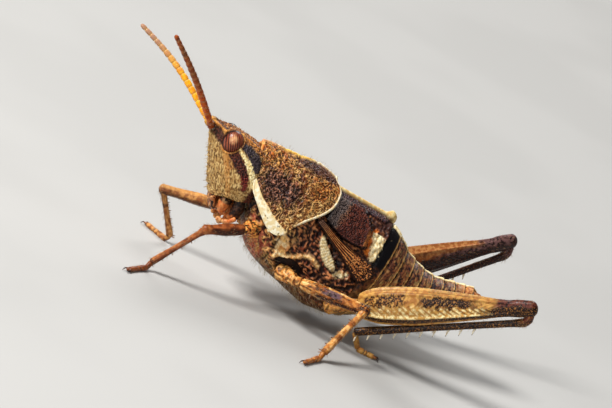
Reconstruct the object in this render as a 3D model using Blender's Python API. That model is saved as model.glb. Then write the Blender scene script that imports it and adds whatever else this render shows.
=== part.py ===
"""A slant-faced grasshopper nymph with wing pads, standing, at life size.

The body is modelled in a frame of its own, in millimetres: +X is the animal's left, +Y runs
from head to tail and +Z is its back. An empty carries that frame and gives the body its pitch
and roll. The legs are modelled in the world's frame, from the hips down to feet on the floor
at Z = 0. Every mesh is scaled to metres as it is made.
"""

import math

import bmesh
import bpy
import numpy as np
from mathutils import Matrix, Vector

MM = 0.001
GAP = 0.08  # clearance between neighbouring solids

# How the body stands
BODY_PLACE = (0.0, -1.0, 9.4)
BODY_PITCH = math.radians(8)
BODY_ROLL = math.radians(7)

# The collar: the slanting plane where the head meets the pronotum
COLLAR_Y, COLLAR_Z = -6.45, 2.5
COLLAR_LEAN = 0.27

# Where the trunk is divided, along Y
PROTHORAX_END = -1.1
MESOTHORAX_END = 3.7
METATHORAX_END = 7.3
ABDOMEN_ENDS = (8.55, 9.8, 11.0, 12.15, 13.25, 14.3, 15.3, 16.2, 17.0)
ABDOMEN_LEAN = 0.12
ABDOMEN_TIP = 18.0

SHELL = 0.45  # thickness of the pronotum and the back plates
PAD = 0.5  # thickness of a wing pad
TRUNK_SIDES = 20
LIMB_SIDES = 10

EYE_CENTRE = (1.38, -8.98, 1.7)
EYE_RADII = (0.82, 0.84, 0.95)

ANTENNA_BASE = (0.46, -10.95, 1.76)
ANTENNA_TIPS = {"left": (4.6, -18.8, 7.5), "right": (-4.3, -19.9, 5.85)}
ANTENNA_RADIUS = 0.3

SPINE_LENGTH = 0.6
SPINES_PER_ROW = 7

COLOURS = {
    "head": (0.42, 0.29, 0.13),
    "eye": (0.16, 0.04, 0.015),
    "antenna": (0.62, 0.25, 0.03),
    "mouth": (0.42, 0.17, 0.05),
    "pronotum": (0.17, 0.08, 0.035),
    "thorax": (0.13, 0.06, 0.035),
    "pad": (0.2, 0.09, 0.03),
    "abdomen": (0.1, 0.055, 0.045),
    "leg": (0.36, 0.17, 0.06),
}


def smooth_table(pairs):
    """A smooth function through (position, value) pairs, with no overshoot between them."""
    places, values = np.array(pairs, float).T
    steps = np.diff(places)
    rises = np.diff(values) / steps
    slopes = np.zeros(len(places))
    slopes[0], slopes[-1] = rises[0], rises[-1]
    for i in range(1, len(places) - 1):
        if rises[i - 1] * rises[i] > 0:
            slopes[i] = 2 * rises[i - 1] * rises[i] / (rises[i - 1] + rises[i])

    def value(position):
        position = np.clip(position, places[0], places[-1])
        i = np.clip(np.searchsorted(places, position, side="right") - 1, 0, len(steps) - 1)
        t = (position - places[i]) / steps[i]
        along = values[i] * (1 + 2 * t) * (1 - t) ** 2 + values[i + 1] * t * t * (3 - 2 * t)
        return along + steps[i] * t * (1 - t) * (slopes[i] * (1 - t) - slopes[i + 1] * t)

    return value


class Profile:
    """A lengthwise body form: its top, bottom, half width and widest height along Y."""

    def __init__(self, top, bottom, half, middle, roof, belly=2.2):
        self.top, self.bottom = smooth_table(top), smooth_table(bottom)
        self.half, self.middle = smooth_table(half), smooth_table(middle)
        self.roof, self.belly = roof, belly

    def point(self, y, angle, grow=0.0):
        """A surface point at an angle from the back, 0, over the left side, 90, to the belly."""
        a = math.radians(abs(angle))
        middle, half = float(self.middle(y)), float(self.half(y)) + grow
        if a <= math.pi / 2:
            reach, power = float(self.top(y)) + grow - middle, 2 / self.roof
        else:
            reach, power = middle - float(self.bottom(y)) + grow, 2 / self.belly
        x = half * abs(math.sin(a)) ** power
        z = middle + math.copysign(reach * abs(math.cos(a)) ** power, math.cos(a))
        return (math.copysign(x, angle), y, z)

    def side(self, y, z, grow=0.0):
        """The point of the left side at this Y and Z."""
        middle, half = float(self.middle(y)), float(self.half(y)) + grow
        if z >= middle:
            reach, power = float(self.top(y)) + grow - middle, 2 / self.roof
        else:
            reach, power = middle - float(self.bottom(y)) + grow, 2 / self.belly
        share = min(abs(z - middle) / reach, 1.0) ** (1 / power)
        return (half * math.sqrt(1 - share * share) ** power, y, z)


TRUNK = Profile(
    top=((-6.4, 1.7), (-4, 2.45), (-1, 2.75), (2, 2.4), (7.2, 2.45), (8.95, 1.75),
         (10.45, 0.76), (13.2, 0.13), (15.8, 0.65), (17.2, 0.95), (18, 0.5)),
    bottom=((-5.2, -2.4), (-4, -4.6), (-2.6, -6.4), (0.3, -7.6), (4.5, -8.0), (7.4, -7.2),
            (9, -6.2), (12, -4.4), (15, -2.7), (17.2, -1.3), (18, -0.5)),
    half=((-6.4, 1.7), (-4, 2.4), (-1.5, 2.85), (2, 2.95), (6, 3.1), (7.4, 3.0),
          (9, 2.7), (12, 2.2), (15, 1.75), (17, 1.2), (18, 0.6)),
    middle=((-6.4, 0), (-3, -2.2), (0, -3.6), (5, -4.0), (7.4, -3.2), (9, -2.4),
            (12, -1.7), (15, -0.8), (18, 0.1)),
    roof=1.8,
)
PRONOTUM = Profile(
    top=((-6.6, 2.8), (-5.5, 3.1), (-4.2, 3.2), (-2.7, 3.35), (-1, 3.6), (0.4, 3.4), (2, 2.95)),
    bottom=((-6.6, -3), (-3, -6), (2, -8)),
    half=((-6.6, 2.35), (-5, 2.85), (-3, 3.3), (-1, 3.55), (2, 3.6)),
    middle=((-6.6, -1.4), (-4, -2.4), (-1, -3.0), (2, -3.4)),
    roof=1.75,
)
# The pronotum's margins as Y against the angle from the crest
PRONOTUM_FRONT = smooth_table(((0, -6.35), (25, -6.36), (45, -6.08), (60, -5.78), (70, -5.4),
                               (80, -4.7), (88, -3.6), (95, -2.2)))
PRONOTUM_REAR = smooth_table(((0, 1.9), (25, 1.5), (45, 1.35), (60, 0.75), (75, -0.3), (95, -1.35)))
PRONOTUM_REACH = 95

# The head's outline in the plane of symmetry: the slanting face, and the back of the head
FACE_TOP, FACE_BOTTOM = (-11.33, 2.45), (-8.15, -3.2)
OCCIPUT_TOP, OCCIPUT_BOTTOM = (-5.7, 2.45), (-4.4, -2.0)
HEAD_CROWN = 0.33  # rise of the vertex above the line from the face to the occiput
HEAD_HALF = smooth_table(((0, 0.34), (0.05, 1.12), (0.12, 1.68), (0.25, 2.12), (0.5, 2.42),
                          (0.75, 2.5), (0.9, 2.25), (1, 1.9)))
HEAD_LEVELS = (0, 0.03, 0.07, 0.13, 0.2, 0.3, 0.42, 0.56, 0.7, 0.83, 0.93, 1)
HEAD_SIDES = 26


def collar(z):
    return COLLAR_Y + COLLAR_LEAN * (COLLAR_Z - z)


def blend(a, b, share):
    return a + (b - a) * share


def head_point(level, angle, grow=0.0):
    """A point of the head: level 0 is the vertex and 1 the mouth; angle 0 is the face."""
    a = math.radians(angle)
    along = (1 - math.cos(a)) / 2
    blunt = blend(0.95, 0.62, min(level / 0.4, 1))
    power = blend(blunt, 0.45, along)
    half = float(HEAD_HALF(level)) * (1 + 0.5 * (along - 0.5)) + grow
    face_y, face_z = (blend(FACE_TOP[i], FACE_BOTTOM[i], level) for i in (0, 1))
    back_y, back_z = (blend(OCCIPUT_TOP[i], OCCIPUT_BOTTOM[i], level) for i in (0, 1))
    crown = HEAD_CROWN * math.sin(math.pi * along) * max(0.0, 1 - level / 0.3)
    x = math.copysign(half * abs(math.sin(a)) ** power, math.sin(a))
    return (x, blend(face_y - grow, back_y, along), blend(face_z, back_z, along) + crown)


def material_for(kind):
    material = bpy.data.materials.get(kind)
    if material is None:
        material = bpy.data.materials.new(kind)
        material.use_nodes = True
        shader = material.node_tree.nodes["Principled BSDF"]
        shader.inputs["Base Color"].default_value = (*COLOURS[kind], 1)
        shader.inputs["Roughness"].default_value = 0.2 if kind == "eye" else 0.55
        shader.inputs["Metallic"].default_value = 0.0
    return material


def new_object(name, points, faces, kind, helper=False):
    """A mesh object from points in millimetres, its faces turned to point out."""
    mesh = bpy.data.meshes.new(name)
    mesh.from_pydata([Vector(p) * MM for p in points], [], faces)
    shape = bmesh.new()
    shape.from_mesh(mesh)
    bmesh.ops.recalc_face_normals(shape, faces=shape.faces)
    shape.to_mesh(mesh)
    shape.free()
    mesh.materials.append(material_for(kind))
    mesh.shade_smooth()
    obj = bpy.data.objects.new(name, mesh)
    if helper:
        obj.hide_render = True
        obj.display_type = "WIRE"
    bpy.data.collections["helpers" if helper else "grasshopper"].objects.link(obj)
    return obj


def loft(rings):
    """Points and faces of a closed body through rings of equal count, capped by fans."""
    count = len(rings[0])
    points = [p for ring in rings for p in ring]
    faces = []
    for r in range(len(rings) - 1):
        for i in range(count):
            j = (i + 1) % count
            faces.append((r * count + i, r * count + j, (r + 1) * count + j, (r + 1) * count + i))
    for r in (0, len(rings) - 1):
        hub = len(points)
        points.append(tuple(np.mean(rings[r], axis=0)))
        faces += [(hub, r * count + i, r * count + (i + 1) % count) for i in range(count)]
    return points, faces


def plate(outer, inner):
    """Points and faces of a closed shell between two matching grids of points."""
    rows, columns = len(outer), len(outer[0])
    points = [p for grid in (outer, inner) for row in grid for p in row]
    faces = []
    for layer in (0, rows * columns):
        for r in range(rows - 1):
            for c in range(columns - 1):
                k = layer + r * columns + c
                faces.append((k, k + 1, k + columns + 1, k + columns))
    rim = [(0, c) for c in range(columns)] + [(r, columns - 1) for r in range(1, rows)]
    rim += [(rows - 1, c) for c in range(columns - 2, -1, -1)] + [(r, 0) for r in range(rows - 2, 0, -1)]
    for i, (row, column) in enumerate(rim):
        next_row, next_column = rim[(i + 1) % len(rim)]
        a, b = row * columns + column, next_row * columns + next_column
        faces.append((a, b, b + rows * columns, a + rows * columns))
    return points, faces


def on_body(obj):
    obj.parent = bpy.data.objects["body_frame"]
    return obj


def cut(obj, cutter):
    modifier = obj.modifiers.new("cut " + cutter.name, "BOOLEAN")
    modifier.operation = "DIFFERENCE"
    modifier.solver = "EXACT"
    modifier.object = cutter


def join_to(obj, helpers):
    for helper in helpers:
        modifier = obj.modifiers.new("join " + helper.name, "BOOLEAN")
        modifier.operation = "UNION"
        modifier.solver = "EXACT"
        modifier.object = helper


def ellipsoid(name, centre, radii, kind, segments=12, rings=8, helper=False):
    shape = bmesh.new()
    bmesh.ops.create_uvsphere(shape, u_segments=segments, v_segments=rings, radius=1)
    size = Matrix.Diagonal((*(r * MM for r in radii), 1))
    bmesh.ops.transform(shape, matrix=Matrix.Translation(Vector(centre) * MM) @ size, verts=shape.verts)
    mesh = bpy.data.meshes.new(name)
    shape.to_mesh(mesh)
    shape.free()
    mesh.materials.append(material_for(kind))
    mesh.shade_smooth()
    obj = bpy.data.objects.new(name, mesh)
    if helper:
        obj.hide_render = True
        obj.display_type = "WIRE"
    bpy.data.collections["helpers" if helper else "grasshopper"].objects.link(obj)
    return obj


def tube(path, radii, sides, up=(0, 0, 1), floor=None):
    """Rings of a limb along a path; radii are (across, along up) pairs, flattened on a floor."""
    path = [Vector(p) for p in path]
    rings = []
    for i, centre in enumerate(path):
        ahead = (path[min(i + 1, len(path) - 1)] - path[max(i - 1, 0)]).normalized()
        across = ahead.cross(Vector(up)).normalized()
        upward = across.cross(ahead).normalized()
        ring = []
        for k in range(sides):
            a = 2 * math.pi * (k + 0.5) / sides
            p = centre + across * (radii[i][0] * math.cos(a)) + upward * (radii[i][1] * math.sin(a))
            if floor is not None:
                p.z = max(p.z, floor)
            ring.append(tuple(p))
        rings.append(ring)
    return rings


def make_head():
    rings = []
    for level in HEAD_LEVELS:
        angles = [360 * (k + 0.5) / HEAD_SIDES for k in range(HEAD_SIDES)]
        rings.append([head_point(level, angle) for angle in angles])
    head = on_body(new_object("head", *loft(rings), "head"))
    shape = bmesh.new()
    shape.from_mesh(head.data)
    everything = list(shape.verts) + list(shape.edges) + list(shape.faces)
    plane = Vector((0, COLLAR_Y - GAP, COLLAR_Z)) * MM
    cut_edges = bmesh.ops.bisect_plane(
        shape, geom=everything, plane_co=plane, plane_no=Vector((0, 1, COLLAR_LEAN)), clear_outer=True
    )["geom_cut"]
    bmesh.ops.holes_fill(shape, edges=[e for e in cut_edges if isinstance(e, bmesh.types.BMEdge)])
    bmesh.ops.recalc_face_normals(shape, faces=shape.faces)
    shape.to_mesh(head.data)
    shape.free()
    for side, sign in (("left", 1), ("right", -1)):
        centre = (sign * EYE_CENTRE[0], EYE_CENTRE[1], EYE_CENTRE[2])
        on_body(ellipsoid("eye_" + side, centre, EYE_RADII, "eye"))
        socket = on_body(ellipsoid("eye_socket_" + side, centre, [r + GAP for r in EYE_RADII], "head", helper=True))
        cut(head, socket)
    return head


def make_antennae(head):
    """Two tapering feelers, a little bowed, each set in a socket of the face."""
    for side, tip in ANTENNA_TIPS.items():
        sign = 1 if side == "left" else -1
        base = Vector((sign * ANTENNA_BASE[0], ANTENNA_BASE[1], ANTENNA_BASE[2]))
        tip = Vector(tip)
        bow = Vector((0, 0.25, 0.55 if side == "right" else 0.25))
        shares = [i / 13 for i in range(14)]
        path = [base.lerp(tip, t) + bow * math.sin(math.pi * t) for t in shares]
        radii = []
        for t in shares:
            radius = ANTENNA_RADIUS * (1.15 if t < 0.08 else 0.95 + 0.1 * math.sin(math.pi * t))
            radius = max(radius * (1 - 0.25 * max(0, t - 0.6)), 0.25)
            radii.append((radius, radius))
        on_body(new_object("antenna_" + side, *loft(tube(path, radii, 8)), "antenna"))
        ahead = (path[1] - path[0]).normalized()
        path = (path[0] - ahead * GAP, path[0], path[1])
        rings = tube(path, [(radii[0][0] + GAP, radii[0][0] + GAP)] * 3, 8)
        cut(head, on_body(new_object("antenna_socket_" + side, *loft(rings), "head", helper=True)))


def box_loft(name, sections, kind):
    """A body through rounded sections: (centre, half across X, half along the other way, way)."""
    rings = []
    for centre, half_x, half_other, way in sections:
        ring = []
        for k in range(12):
            a = 2 * math.pi * k / 12
            c, s = math.cos(a), math.sin(a)
            x = half_x * math.copysign(abs(c) ** 0.7, c)
            other = Vector(way) * (half_other * math.copysign(abs(s) ** 0.7, s))
            ring.append((centre[0] + x, centre[1] + other.y, centre[2] + other.z))
        rings.append(ring)
    return on_body(new_object(name, *loft(rings), kind))


def make_mouth():
    """Labrum in front, a mandible and a palp on each side, and the labium behind."""
    way = (0, 0.95, 0.3)
    box_loft("labrum", (
        ((0, -7.68, -3.18), 1.15, 0.33, way), ((0, -7.55, -3.5), 1.12, 0.34, way),
        ((0, -7.2, -4.05), 0.95, 0.32, way), ((0, -6.9, -4.4), 0.6, 0.22, way),
    ), "mouth")
    box_loft("labium", (
        ((0, -5.5, -2.5), 0.95, 0.4, way), ((0, -5.45, -3.2), 0.95, 0.42, way),
        ((0, -5.5, -4.0), 0.7, 0.35, way), ((0, -5.75, -4.5), 0.4, 0.25, way),
    ), "mouth")
    for side, sign in (("left", 1), ("right", -1)):
        box_loft("mandible_" + side, (
            ((sign * 1.28, -6.65, -2.87), 0.55, 0.55, way), ((sign * 1.25, -6.65, -3.3), 0.55, 0.5, way),
            ((sign * 0.85, -6.5, -3.85), 0.6, 0.35, way), ((sign * 0.6, -6.4, -4.15), 0.4, 0.25, way),
        ), "mouth")
        box_loft("maxilla_" + side, (
            ((sign * 1.5, -5.55, -2.52), 0.42, 0.42, way), ((sign * 1.6, -5.4, -3.1), 0.48, 0.52, way),
            ((sign * 1.5, -5.4, -3.75), 0.4, 0.45, way), ((sign * 1.2, -5.6, -4.4), 0.28, 0.3, way),
        ), "mouth")


def saddle(name, profile, front, rear, reach, inner, outer, rows, columns, kind):
    """A shell over the back between two margins, reaching down to an angle on each side."""
    grids = []
    for grow in (outer, inner):
        grid = []
        for r in range(rows):
            row = []
            for c in range(columns):
                angle = reach * (2 * c / (columns - 1) - 1)
                y = blend(float(front(abs(angle))), float(rear(abs(angle))), r / (rows - 1))
                row.append(profile.point(y, angle, grow))
            grid.append(row)
        grids.append(grid)
    return on_body(new_object(name, *plate(*grids), kind))


def make_back_plates():
    saddle("pronotum", PRONOTUM, PRONOTUM_FRONT, PRONOTUM_REAR, PRONOTUM_REACH, -SHELL, 0.0, 10, 21, "pronotum")
    ridge_reach = 16
    first = smooth_table(((0, 2.0), (ridge_reach, 1.8)))
    middle = smooth_table(((0, 4.9), (ridge_reach, 4.6)))
    second = smooth_table(((0, 4.9 + GAP), (ridge_reach, 4.6 + GAP)))
    last = smooth_table(((0, 7.45), (ridge_reach, 6.7)))
    saddle("mesonotum", TRUNK, first, middle, ridge_reach, GAP, GAP + SHELL, 4, 7, "pronotum")
    ridge = saddle("metanotum", TRUNK, second, last, ridge_reach, GAP, GAP + SHELL, 4, 7, "pronotum")
    knob = on_body(ellipsoid("metanotum_knob", (0, 7.2, 3.0), (0.3, 0.42, 0.32), "pronotum", 10, 8, helper=True))
    join_to(ridge, [knob])


def flap(name, sign, front, rear, rounding, kind):
    """A wing pad: ruled between a front and a rear edge of three (Y, Z) points, its end rounded."""
    rows, columns = 8, 5
    edges = []
    for edge in (front, rear):
        spacing = [0, 0.5, 1]
        edges.append([smooth_table([(t, p[i]) for t, p in zip(spacing, edge)]) for i in (0, 1)])
    grids = []
    for grow in (GAP + PAD, GAP):
        grid = []
        for r in range(rows):
            t = r / (rows - 1)
            row = []
            for c in range(columns):
                u = c / (columns - 1)
                bulge = math.sin(math.pi * u) * t ** 5
                y = blend(float(edges[0][0](t)), float(edges[1][0](t)), u) + bulge * rounding[0]
                z = blend(float(edges[0][1](t)), float(edges[1][1](t)), u) + bulge * rounding[1]
                x, y, z = TRUNK.side(y, z, grow)
                row.append((sign * x, y, z))
            grid.append(row)
        grids.append(grid)
    return on_body(new_object(name, *plate(*grids), kind))


def make_wing_pads():
    for side, sign in (("left", 1), ("right", -1)):
        flap("forewing_pad_" + side, sign,
             ((1.0, -0.65), (3.5, -1.9), (6.5, -3.4)), ((1.4, -0.1), (4.1, -1.05), (6.95, -1.25)),
             (0.85, 0.0), "pad")
        flap("hindwing_pad_" + side, sign,
             ((1.8, 2.05), (1.7, 1.1), (1.6, 0.15)), ((4.6, 2.15), (5.6, 1.2), (6.05, -0.7)),
             (0.0, -0.42), "pad")


def upright(z):
    return 0.0


def pleural_slant(z):
    """How far the suture between mesothorax and metathorax lies behind its middle, at a height."""
    return -0.7 * float(np.clip(z + 2.4, -2, 2))


def abdomen_slant(z):
    return ABDOMEN_LEAN * z


def trunk_ring(y, scale=1.0, slant=upright):
    """A ring of the trunk, of the body's form at each point's own Y."""
    ring = []
    for k in range(TRUNK_SIDES):
        angle = 360 * (k + 0.5) / TRUNK_SIDES
        angle = angle - 360 if angle > 180 else angle
        z = TRUNK.point(y, angle)[2]
        there = y + slant(z)
        x, there, z = TRUNK.point(there, angle)
        middle = float(TRUNK.middle(there))
        ring.append((x * scale, there, middle + (z - middle) * scale))
    return ring


def trunk_length(name, start, end, kind, slants, start_scale=1.0, rows=3):
    """A length of the trunk, a little narrower where it comes out of the one before."""
    rings = []
    for r in range(rows):
        t = r / (rows - 1)
        scale = blend(start_scale, 1.0, min(1, t * 2))
        first, last = trunk_ring(start, scale, slants[0]), trunk_ring(end, scale, slants[1])
        ring = []
        for k, (a, b) in enumerate(zip(first, last)):
            angle = 360 * (k + 0.5) / TRUNK_SIDES
            y = blend(a[1], b[1], t)
            x, y, z = TRUNK.point(y, angle - 360 if angle > 180 else angle)
            middle = float(TRUNK.middle(y))
            ring.append((x * scale, y, middle + (z - middle) * scale))
        rings.append(ring)
    return on_body(new_object(name, *loft(rings), kind))


def make_trunk():
    """Thorax and abdomen, and the pieces that each pair of legs meets.

    The prothorax starts at the collar, inside the pronotum.
    """
    rings = []
    for r in range(6):
        ring = []
        t = r / 5
        for x, y, z in trunk_ring(blend(-6.0, PROTHORAX_END, t)):
            start = collar(z)
            ring.append((x, blend(start, PROTHORAX_END, t), z))
        rings.append(ring)
    lengths = {"front": [on_body(new_object("prothorax", *loft(rings), "thorax"))]}
    lengths["middle"] = [trunk_length(
        "mesothorax", PROTHORAX_END + GAP, MESOTHORAX_END, "thorax", (upright, pleural_slant), rows=5)]
    lengths["hind"] = [trunk_length(
        "metathorax", MESOTHORAX_END + GAP, METATHORAX_END, "thorax", (pleural_slant, abdomen_slant), rows=5)]
    start = METATHORAX_END + GAP
    for number, end in enumerate(ABDOMEN_ENDS, 1):
        ring = trunk_length(f"abdomen_{number}", start, end, "abdomen", (abdomen_slant, abdomen_slant), 0.95)
        start = end + GAP
        if number == 1:
            lengths["hind"].append(ring)
    rings = [trunk_ring(blend(start, ABDOMEN_TIP, t), scale, abdomen_slant)
             for t, scale in ((0, 0.97), (0.5, 0.95), (1, 0.75))]
    tip = on_body(new_object("abdomen_tip", *loft(rings), "abdomen"))
    cerci = []
    for sign in (1, -1):
        path = ((sign * 0.4, 17.2, 0.5), (sign * 0.75, 18.3, 0.55))
        rings = tube(path, ((0.28, 0.28), (0.12, 0.12)), 6)
        cerci.append(on_body(new_object(f"cercus_{sign}", *loft(rings), "abdomen", helper=True)))
    join_to(tip, cerci)
    return lengths


# Legs. Hips and trochanters are in the body's frame, and the rest in the world's, in millimetres.
HIPS = {"front": (2.1, -3.5, -4.2), "middle": (2.3, 0.9, -5.9), "hind": (2.5, 6.0, -6.1)}
TROCHANTERS = {"front": (3.3, -4.0, -3.95), "middle": (3.85, 1.75, -5.75), "hind": (3.6, 7.3, -5.2)}
FAR_HIND_RISE = 0.6  # the right hind leg is swung a little further up at its coxa
COXA_RADII = {"front": (0.75, 0.55), "middle": (0.85, 0.6), "hind": (1.05, 0.7)}
COXA_END = 0.8  # radius of a coxa's rounded end, as a share of the second number
# For each leg: the knee at the femur's end, the tibia's upper end, the ankle and the toe
STANCE = {
    ("front", "left"): ((5.0, -9.2, 5.4), (5.0, -9.2, 5.4), (4.6, -12.2, 0.75), (7.0, -14.2, 0.2)),
    ("front", "right"): ((-4.0, -12.2, 4.6), (-4.0, -12.15, 4.5), (-4.3, -9.8, 0.75), (-6.7, -11.6, 0.2)),
    ("middle", "left"): ((6.8, 6.2, 4.5), (6.8, 6.2, 4.5), (10.2, 3.6, 0.75), (12.8, 1.8, 0.2)),
    ("middle", "right"): ((-7.2, 5.6, 4.0), (-7.2, 5.6, 4.0), (-10.0, 3.6, 0.75), (-12.6, 1.8, 0.2)),
    ("hind", "left"): ((8.5, 18.9, 10.75), (8.35, 19.1, 9.38), (4.2, 6.9, 1.55), (4.8, 9.3, 0.2)),
    ("hind", "right"): ((-7.6, 19.5, 11.1), (-7.5, 19.6, 9.7), (-6.1, 9.5, 0.85), (-7.0, 12.4, 0.2)),
}
# Along each femur: share of its length, half thickness, half height
FEMUR_FORMS = {
    "front": ((0, 0.34, 0.36), (0.15, 0.46, 0.5), (0.5, 0.5, 0.55), (0.85, 0.4, 0.42), (1, 0.42, 0.46)),
    "middle": ((0, 0.38, 0.4), (0.15, 0.5, 0.55), (0.5, 0.55, 0.62), (0.85, 0.45, 0.48), (1, 0.48, 0.52)),
    "hind": ((0, 0.5, 0.75), (0.06, 0.72, 1.15), (0.16, 0.9, 1.4), (0.3, 0.92, 1.42), (0.5, 0.76, 1.15),
             (0.7, 0.56, 0.82), (0.86, 0.44, 0.62), (0.93, 0.52, 0.78), (1, 0.5, 0.72)),
}
KNEE_DOME = ((0.45, 0.85), (0.8, 0.5))  # beyond the knee: share of its half height, and its size there
KNEE_GAP = 0.19  # between a hind femur's knee and the bent head of the tibia under it
TIBIA_RADIUS = {"front": 0.28, "middle": 0.31, "hind": 0.34}
TARSUS_RADIUS = {"front": 0.25, "middle": 0.25, "hind": 0.27}


def body_to_world(point):
    frame = bpy.data.objects["body_frame"].matrix_basis
    return (frame @ (Vector(point) * MM)) / MM


def stepped(start, end, margin_start, margin_end):
    """The two points, drawn in along their line by a margin at each end."""
    start, end = Vector(start), Vector(end)
    ahead = (end - start).normalized()
    return start + ahead * margin_start, end - ahead * margin_end


def make_claws(name, toe, ahead):
    across = ahead.cross(Vector((0, 0, 1))).normalized()
    claws = []
    for sign in (1, -1):
        root = toe - ahead * 0.15 + across * (0.1 * sign)
        bend = toe + ahead * 0.28 + across * (0.26 * sign) + Vector((0, 0, 0.04))
        tip = toe + ahead * 0.5 + across * (0.34 * sign)
        tip.z = 0.06
        rings = tube((root, bend, tip), ((0.13, 0.13), (0.11, 0.11), (0.05, 0.05)), 6, floor=0.0)
        claws.append(new_object(f"{name}_claw_{sign}", *loft(rings), "leg", helper=True))
    return claws


def make_leg(pair, side, neighbours):
    """A leg in four pieces, and a socket for its coxa in each piece of the body that it meets."""
    sign = 1 if side == "left" else -1
    name = f"{pair}_{side}"
    hip = body_to_world((sign * HIPS[pair][0], *HIPS[pair][1:]))
    rise = FAR_HIND_RISE if (pair, side) == ("hind", "right") else 0.0
    x, y, z = TROCHANTERS[pair]
    trochanter = body_to_world((sign * x, y, z + rise))
    knee, bend, ankle, toe = (Vector(p) for p in STANCE[pair, side])

    thick, thin = COXA_RADII[pair]
    for helper, grow in ((False, 0.0), (True, GAP)):
        start, end = stepped(hip, trochanter, -grow, -grow)
        path = (start, trochanter, end + (end - start).normalized() * (0.6 * thin * COXA_END))
        radii = [(r + grow, r + grow) for r in (thick, thin * COXA_END, thin * COXA_END * 0.8)]
        label = f"coxa_{name}" + ("_socket" if helper else "")
        coxa = new_object(label, *loft(tube(path, radii, LIMB_SIDES)), "leg", helper=helper)
        if helper:
            for neighbour in neighbours:
                cut(neighbour, coxa)

    form = FEMUR_FORMS[pair]
    start, end = stepped(trochanter, knee, thin * COXA_END + GAP, 0)
    path = [start.lerp(end, share) for share, _, _ in form]
    radii = [(half, height) for _, half, height in form]
    half, height = radii[-1]
    for share, size in KNEE_DOME:
        path.append(end + (end - start).normalized() * (height * share))
        radii.append((half * size, height * size))
    new_object(f"femur_{name}", *loft(tube(path, radii, 12 if pair == "hind" else LIMB_SIDES)), "leg")

    radius = TIBIA_RADIUS[pair]
    start, end = stepped(bend, ankle, 0 if pair == "hind" else height + GAP, 0.1)
    path = [start.lerp(end, share) for share in (0, 0.06, 0.14, 0.55, 0.93, 1)]
    radii = [(radius * k, radius * k) for k in (1.05, 1.25, 0.95, 0.9, 1.1, 1.05)]
    if pair == "hind":
        ahead = (knee - trochanter).normalized()
        under = ahead.cross(Vector((0, 0, 1)).cross(ahead)).normalized() * (height + KNEE_GAP)
        path[:2] = [knee - under, bend]
        radii[:2] = [(radius, radius), (radius, radius)]
    tibia = new_object(f"tibia_{name}", *loft(tube(path, radii, 8)), "leg")
    if pair == "hind":
        join_to(tibia, make_spines(name, start, end, ankle - trochanter, radius))

    radius = TARSUS_RADIUS[pair]
    flat = Vector((toe.x - ankle.x, toe.y - ankle.y, 0)).normalized()
    heel = Vector((ankle.x, ankle.y, 0.2)) + flat * max(0.3, ankle.z - 0.65)
    top = ankle - Vector((0, 0, 0.32)) + flat * 0.05
    path = [top, heel, heel.lerp(toe, 0.3), heel.lerp(toe, 0.36), heel.lerp(toe, 0.6), heel.lerp(toe, 0.9), toe]
    radii = [(radius * k, radius * k) for k in (0.9, 1.1, 1.0, 0.9, 0.95, 1.0, 0.7)]
    tarsus = new_object(f"tarsus_{name}", *loft(tube(path, radii, 8, up=flat.cross(Vector((0, 0, 1))), floor=0.0)), "leg")
    join_to(tarsus, make_claws(name, toe, flat))


def make_spines(name, start, end, back, radius):
    """Two rows of spines down the back of a hind tibia, set close enough to join it."""
    ahead = (end - start).normalized()
    back = (back - ahead * back.dot(ahead)).normalized()
    across = ahead.cross(back)
    spines = []
    for sign in (1, -1):
        out = (back + across * (0.55 * sign)).normalized()
        for k in range(SPINES_PER_ROW):
            root = start.lerp(end, 0.3 + 0.1 * k)
            tip = root + out * (radius + SPINE_LENGTH) + ahead * 0.35
            rings = tube((root, tip), ((0.13, 0.13), (0.04, 0.04)), 5)
            spines.append(new_object(f"{name}_spine_{sign}_{k}", *loft(rings), "leg", helper=True))
    return spines


def clear_scene():
    for obj in list(bpy.data.objects):
        bpy.data.objects.remove(obj, do_unlink=True)
    for name in ("grasshopper", "helpers"):
        bpy.context.scene.collection.children.link(bpy.data.collections.new(name))


def main():
    clear_scene()
    frame = bpy.data.objects.new("body_frame", None)
    frame.rotation_mode = "YXZ"
    frame.rotation_euler = (-BODY_PITCH, -BODY_ROLL, 0)
    frame.location = Vector(BODY_PLACE) * MM
    bpy.data.collections["grasshopper"].objects.link(frame)
    make_antennae(make_head())
    make_mouth()
    make_back_plates()
    make_wing_pads()
    lengths = make_trunk()
    for pair, side in STANCE:
        make_leg(pair, side, lengths[pair])


main()
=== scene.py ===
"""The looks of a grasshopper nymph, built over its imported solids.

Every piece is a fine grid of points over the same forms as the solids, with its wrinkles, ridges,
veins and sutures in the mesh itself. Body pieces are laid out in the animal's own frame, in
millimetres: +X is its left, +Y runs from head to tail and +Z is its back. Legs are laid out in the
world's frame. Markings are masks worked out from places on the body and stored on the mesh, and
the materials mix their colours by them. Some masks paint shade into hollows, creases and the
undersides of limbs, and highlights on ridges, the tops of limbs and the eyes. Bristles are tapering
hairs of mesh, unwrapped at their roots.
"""

import math

import bmesh
import bpy
import numpy as np
from mathutils import Matrix, Vector


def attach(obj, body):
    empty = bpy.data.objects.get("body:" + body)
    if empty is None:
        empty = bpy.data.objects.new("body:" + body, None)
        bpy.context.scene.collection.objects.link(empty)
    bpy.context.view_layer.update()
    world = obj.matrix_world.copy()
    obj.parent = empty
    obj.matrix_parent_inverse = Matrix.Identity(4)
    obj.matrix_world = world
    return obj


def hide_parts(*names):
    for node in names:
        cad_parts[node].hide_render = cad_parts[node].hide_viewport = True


MM = 0.001
SIDES = {"left": 1, "right": -1}

# How the body stands, as in the solids
BODY_PLACE = np.array((0.0, -1.0, 9.4))
BODY_PITCH = math.radians(8)
BODY_ROLL = math.radians(7)

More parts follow.
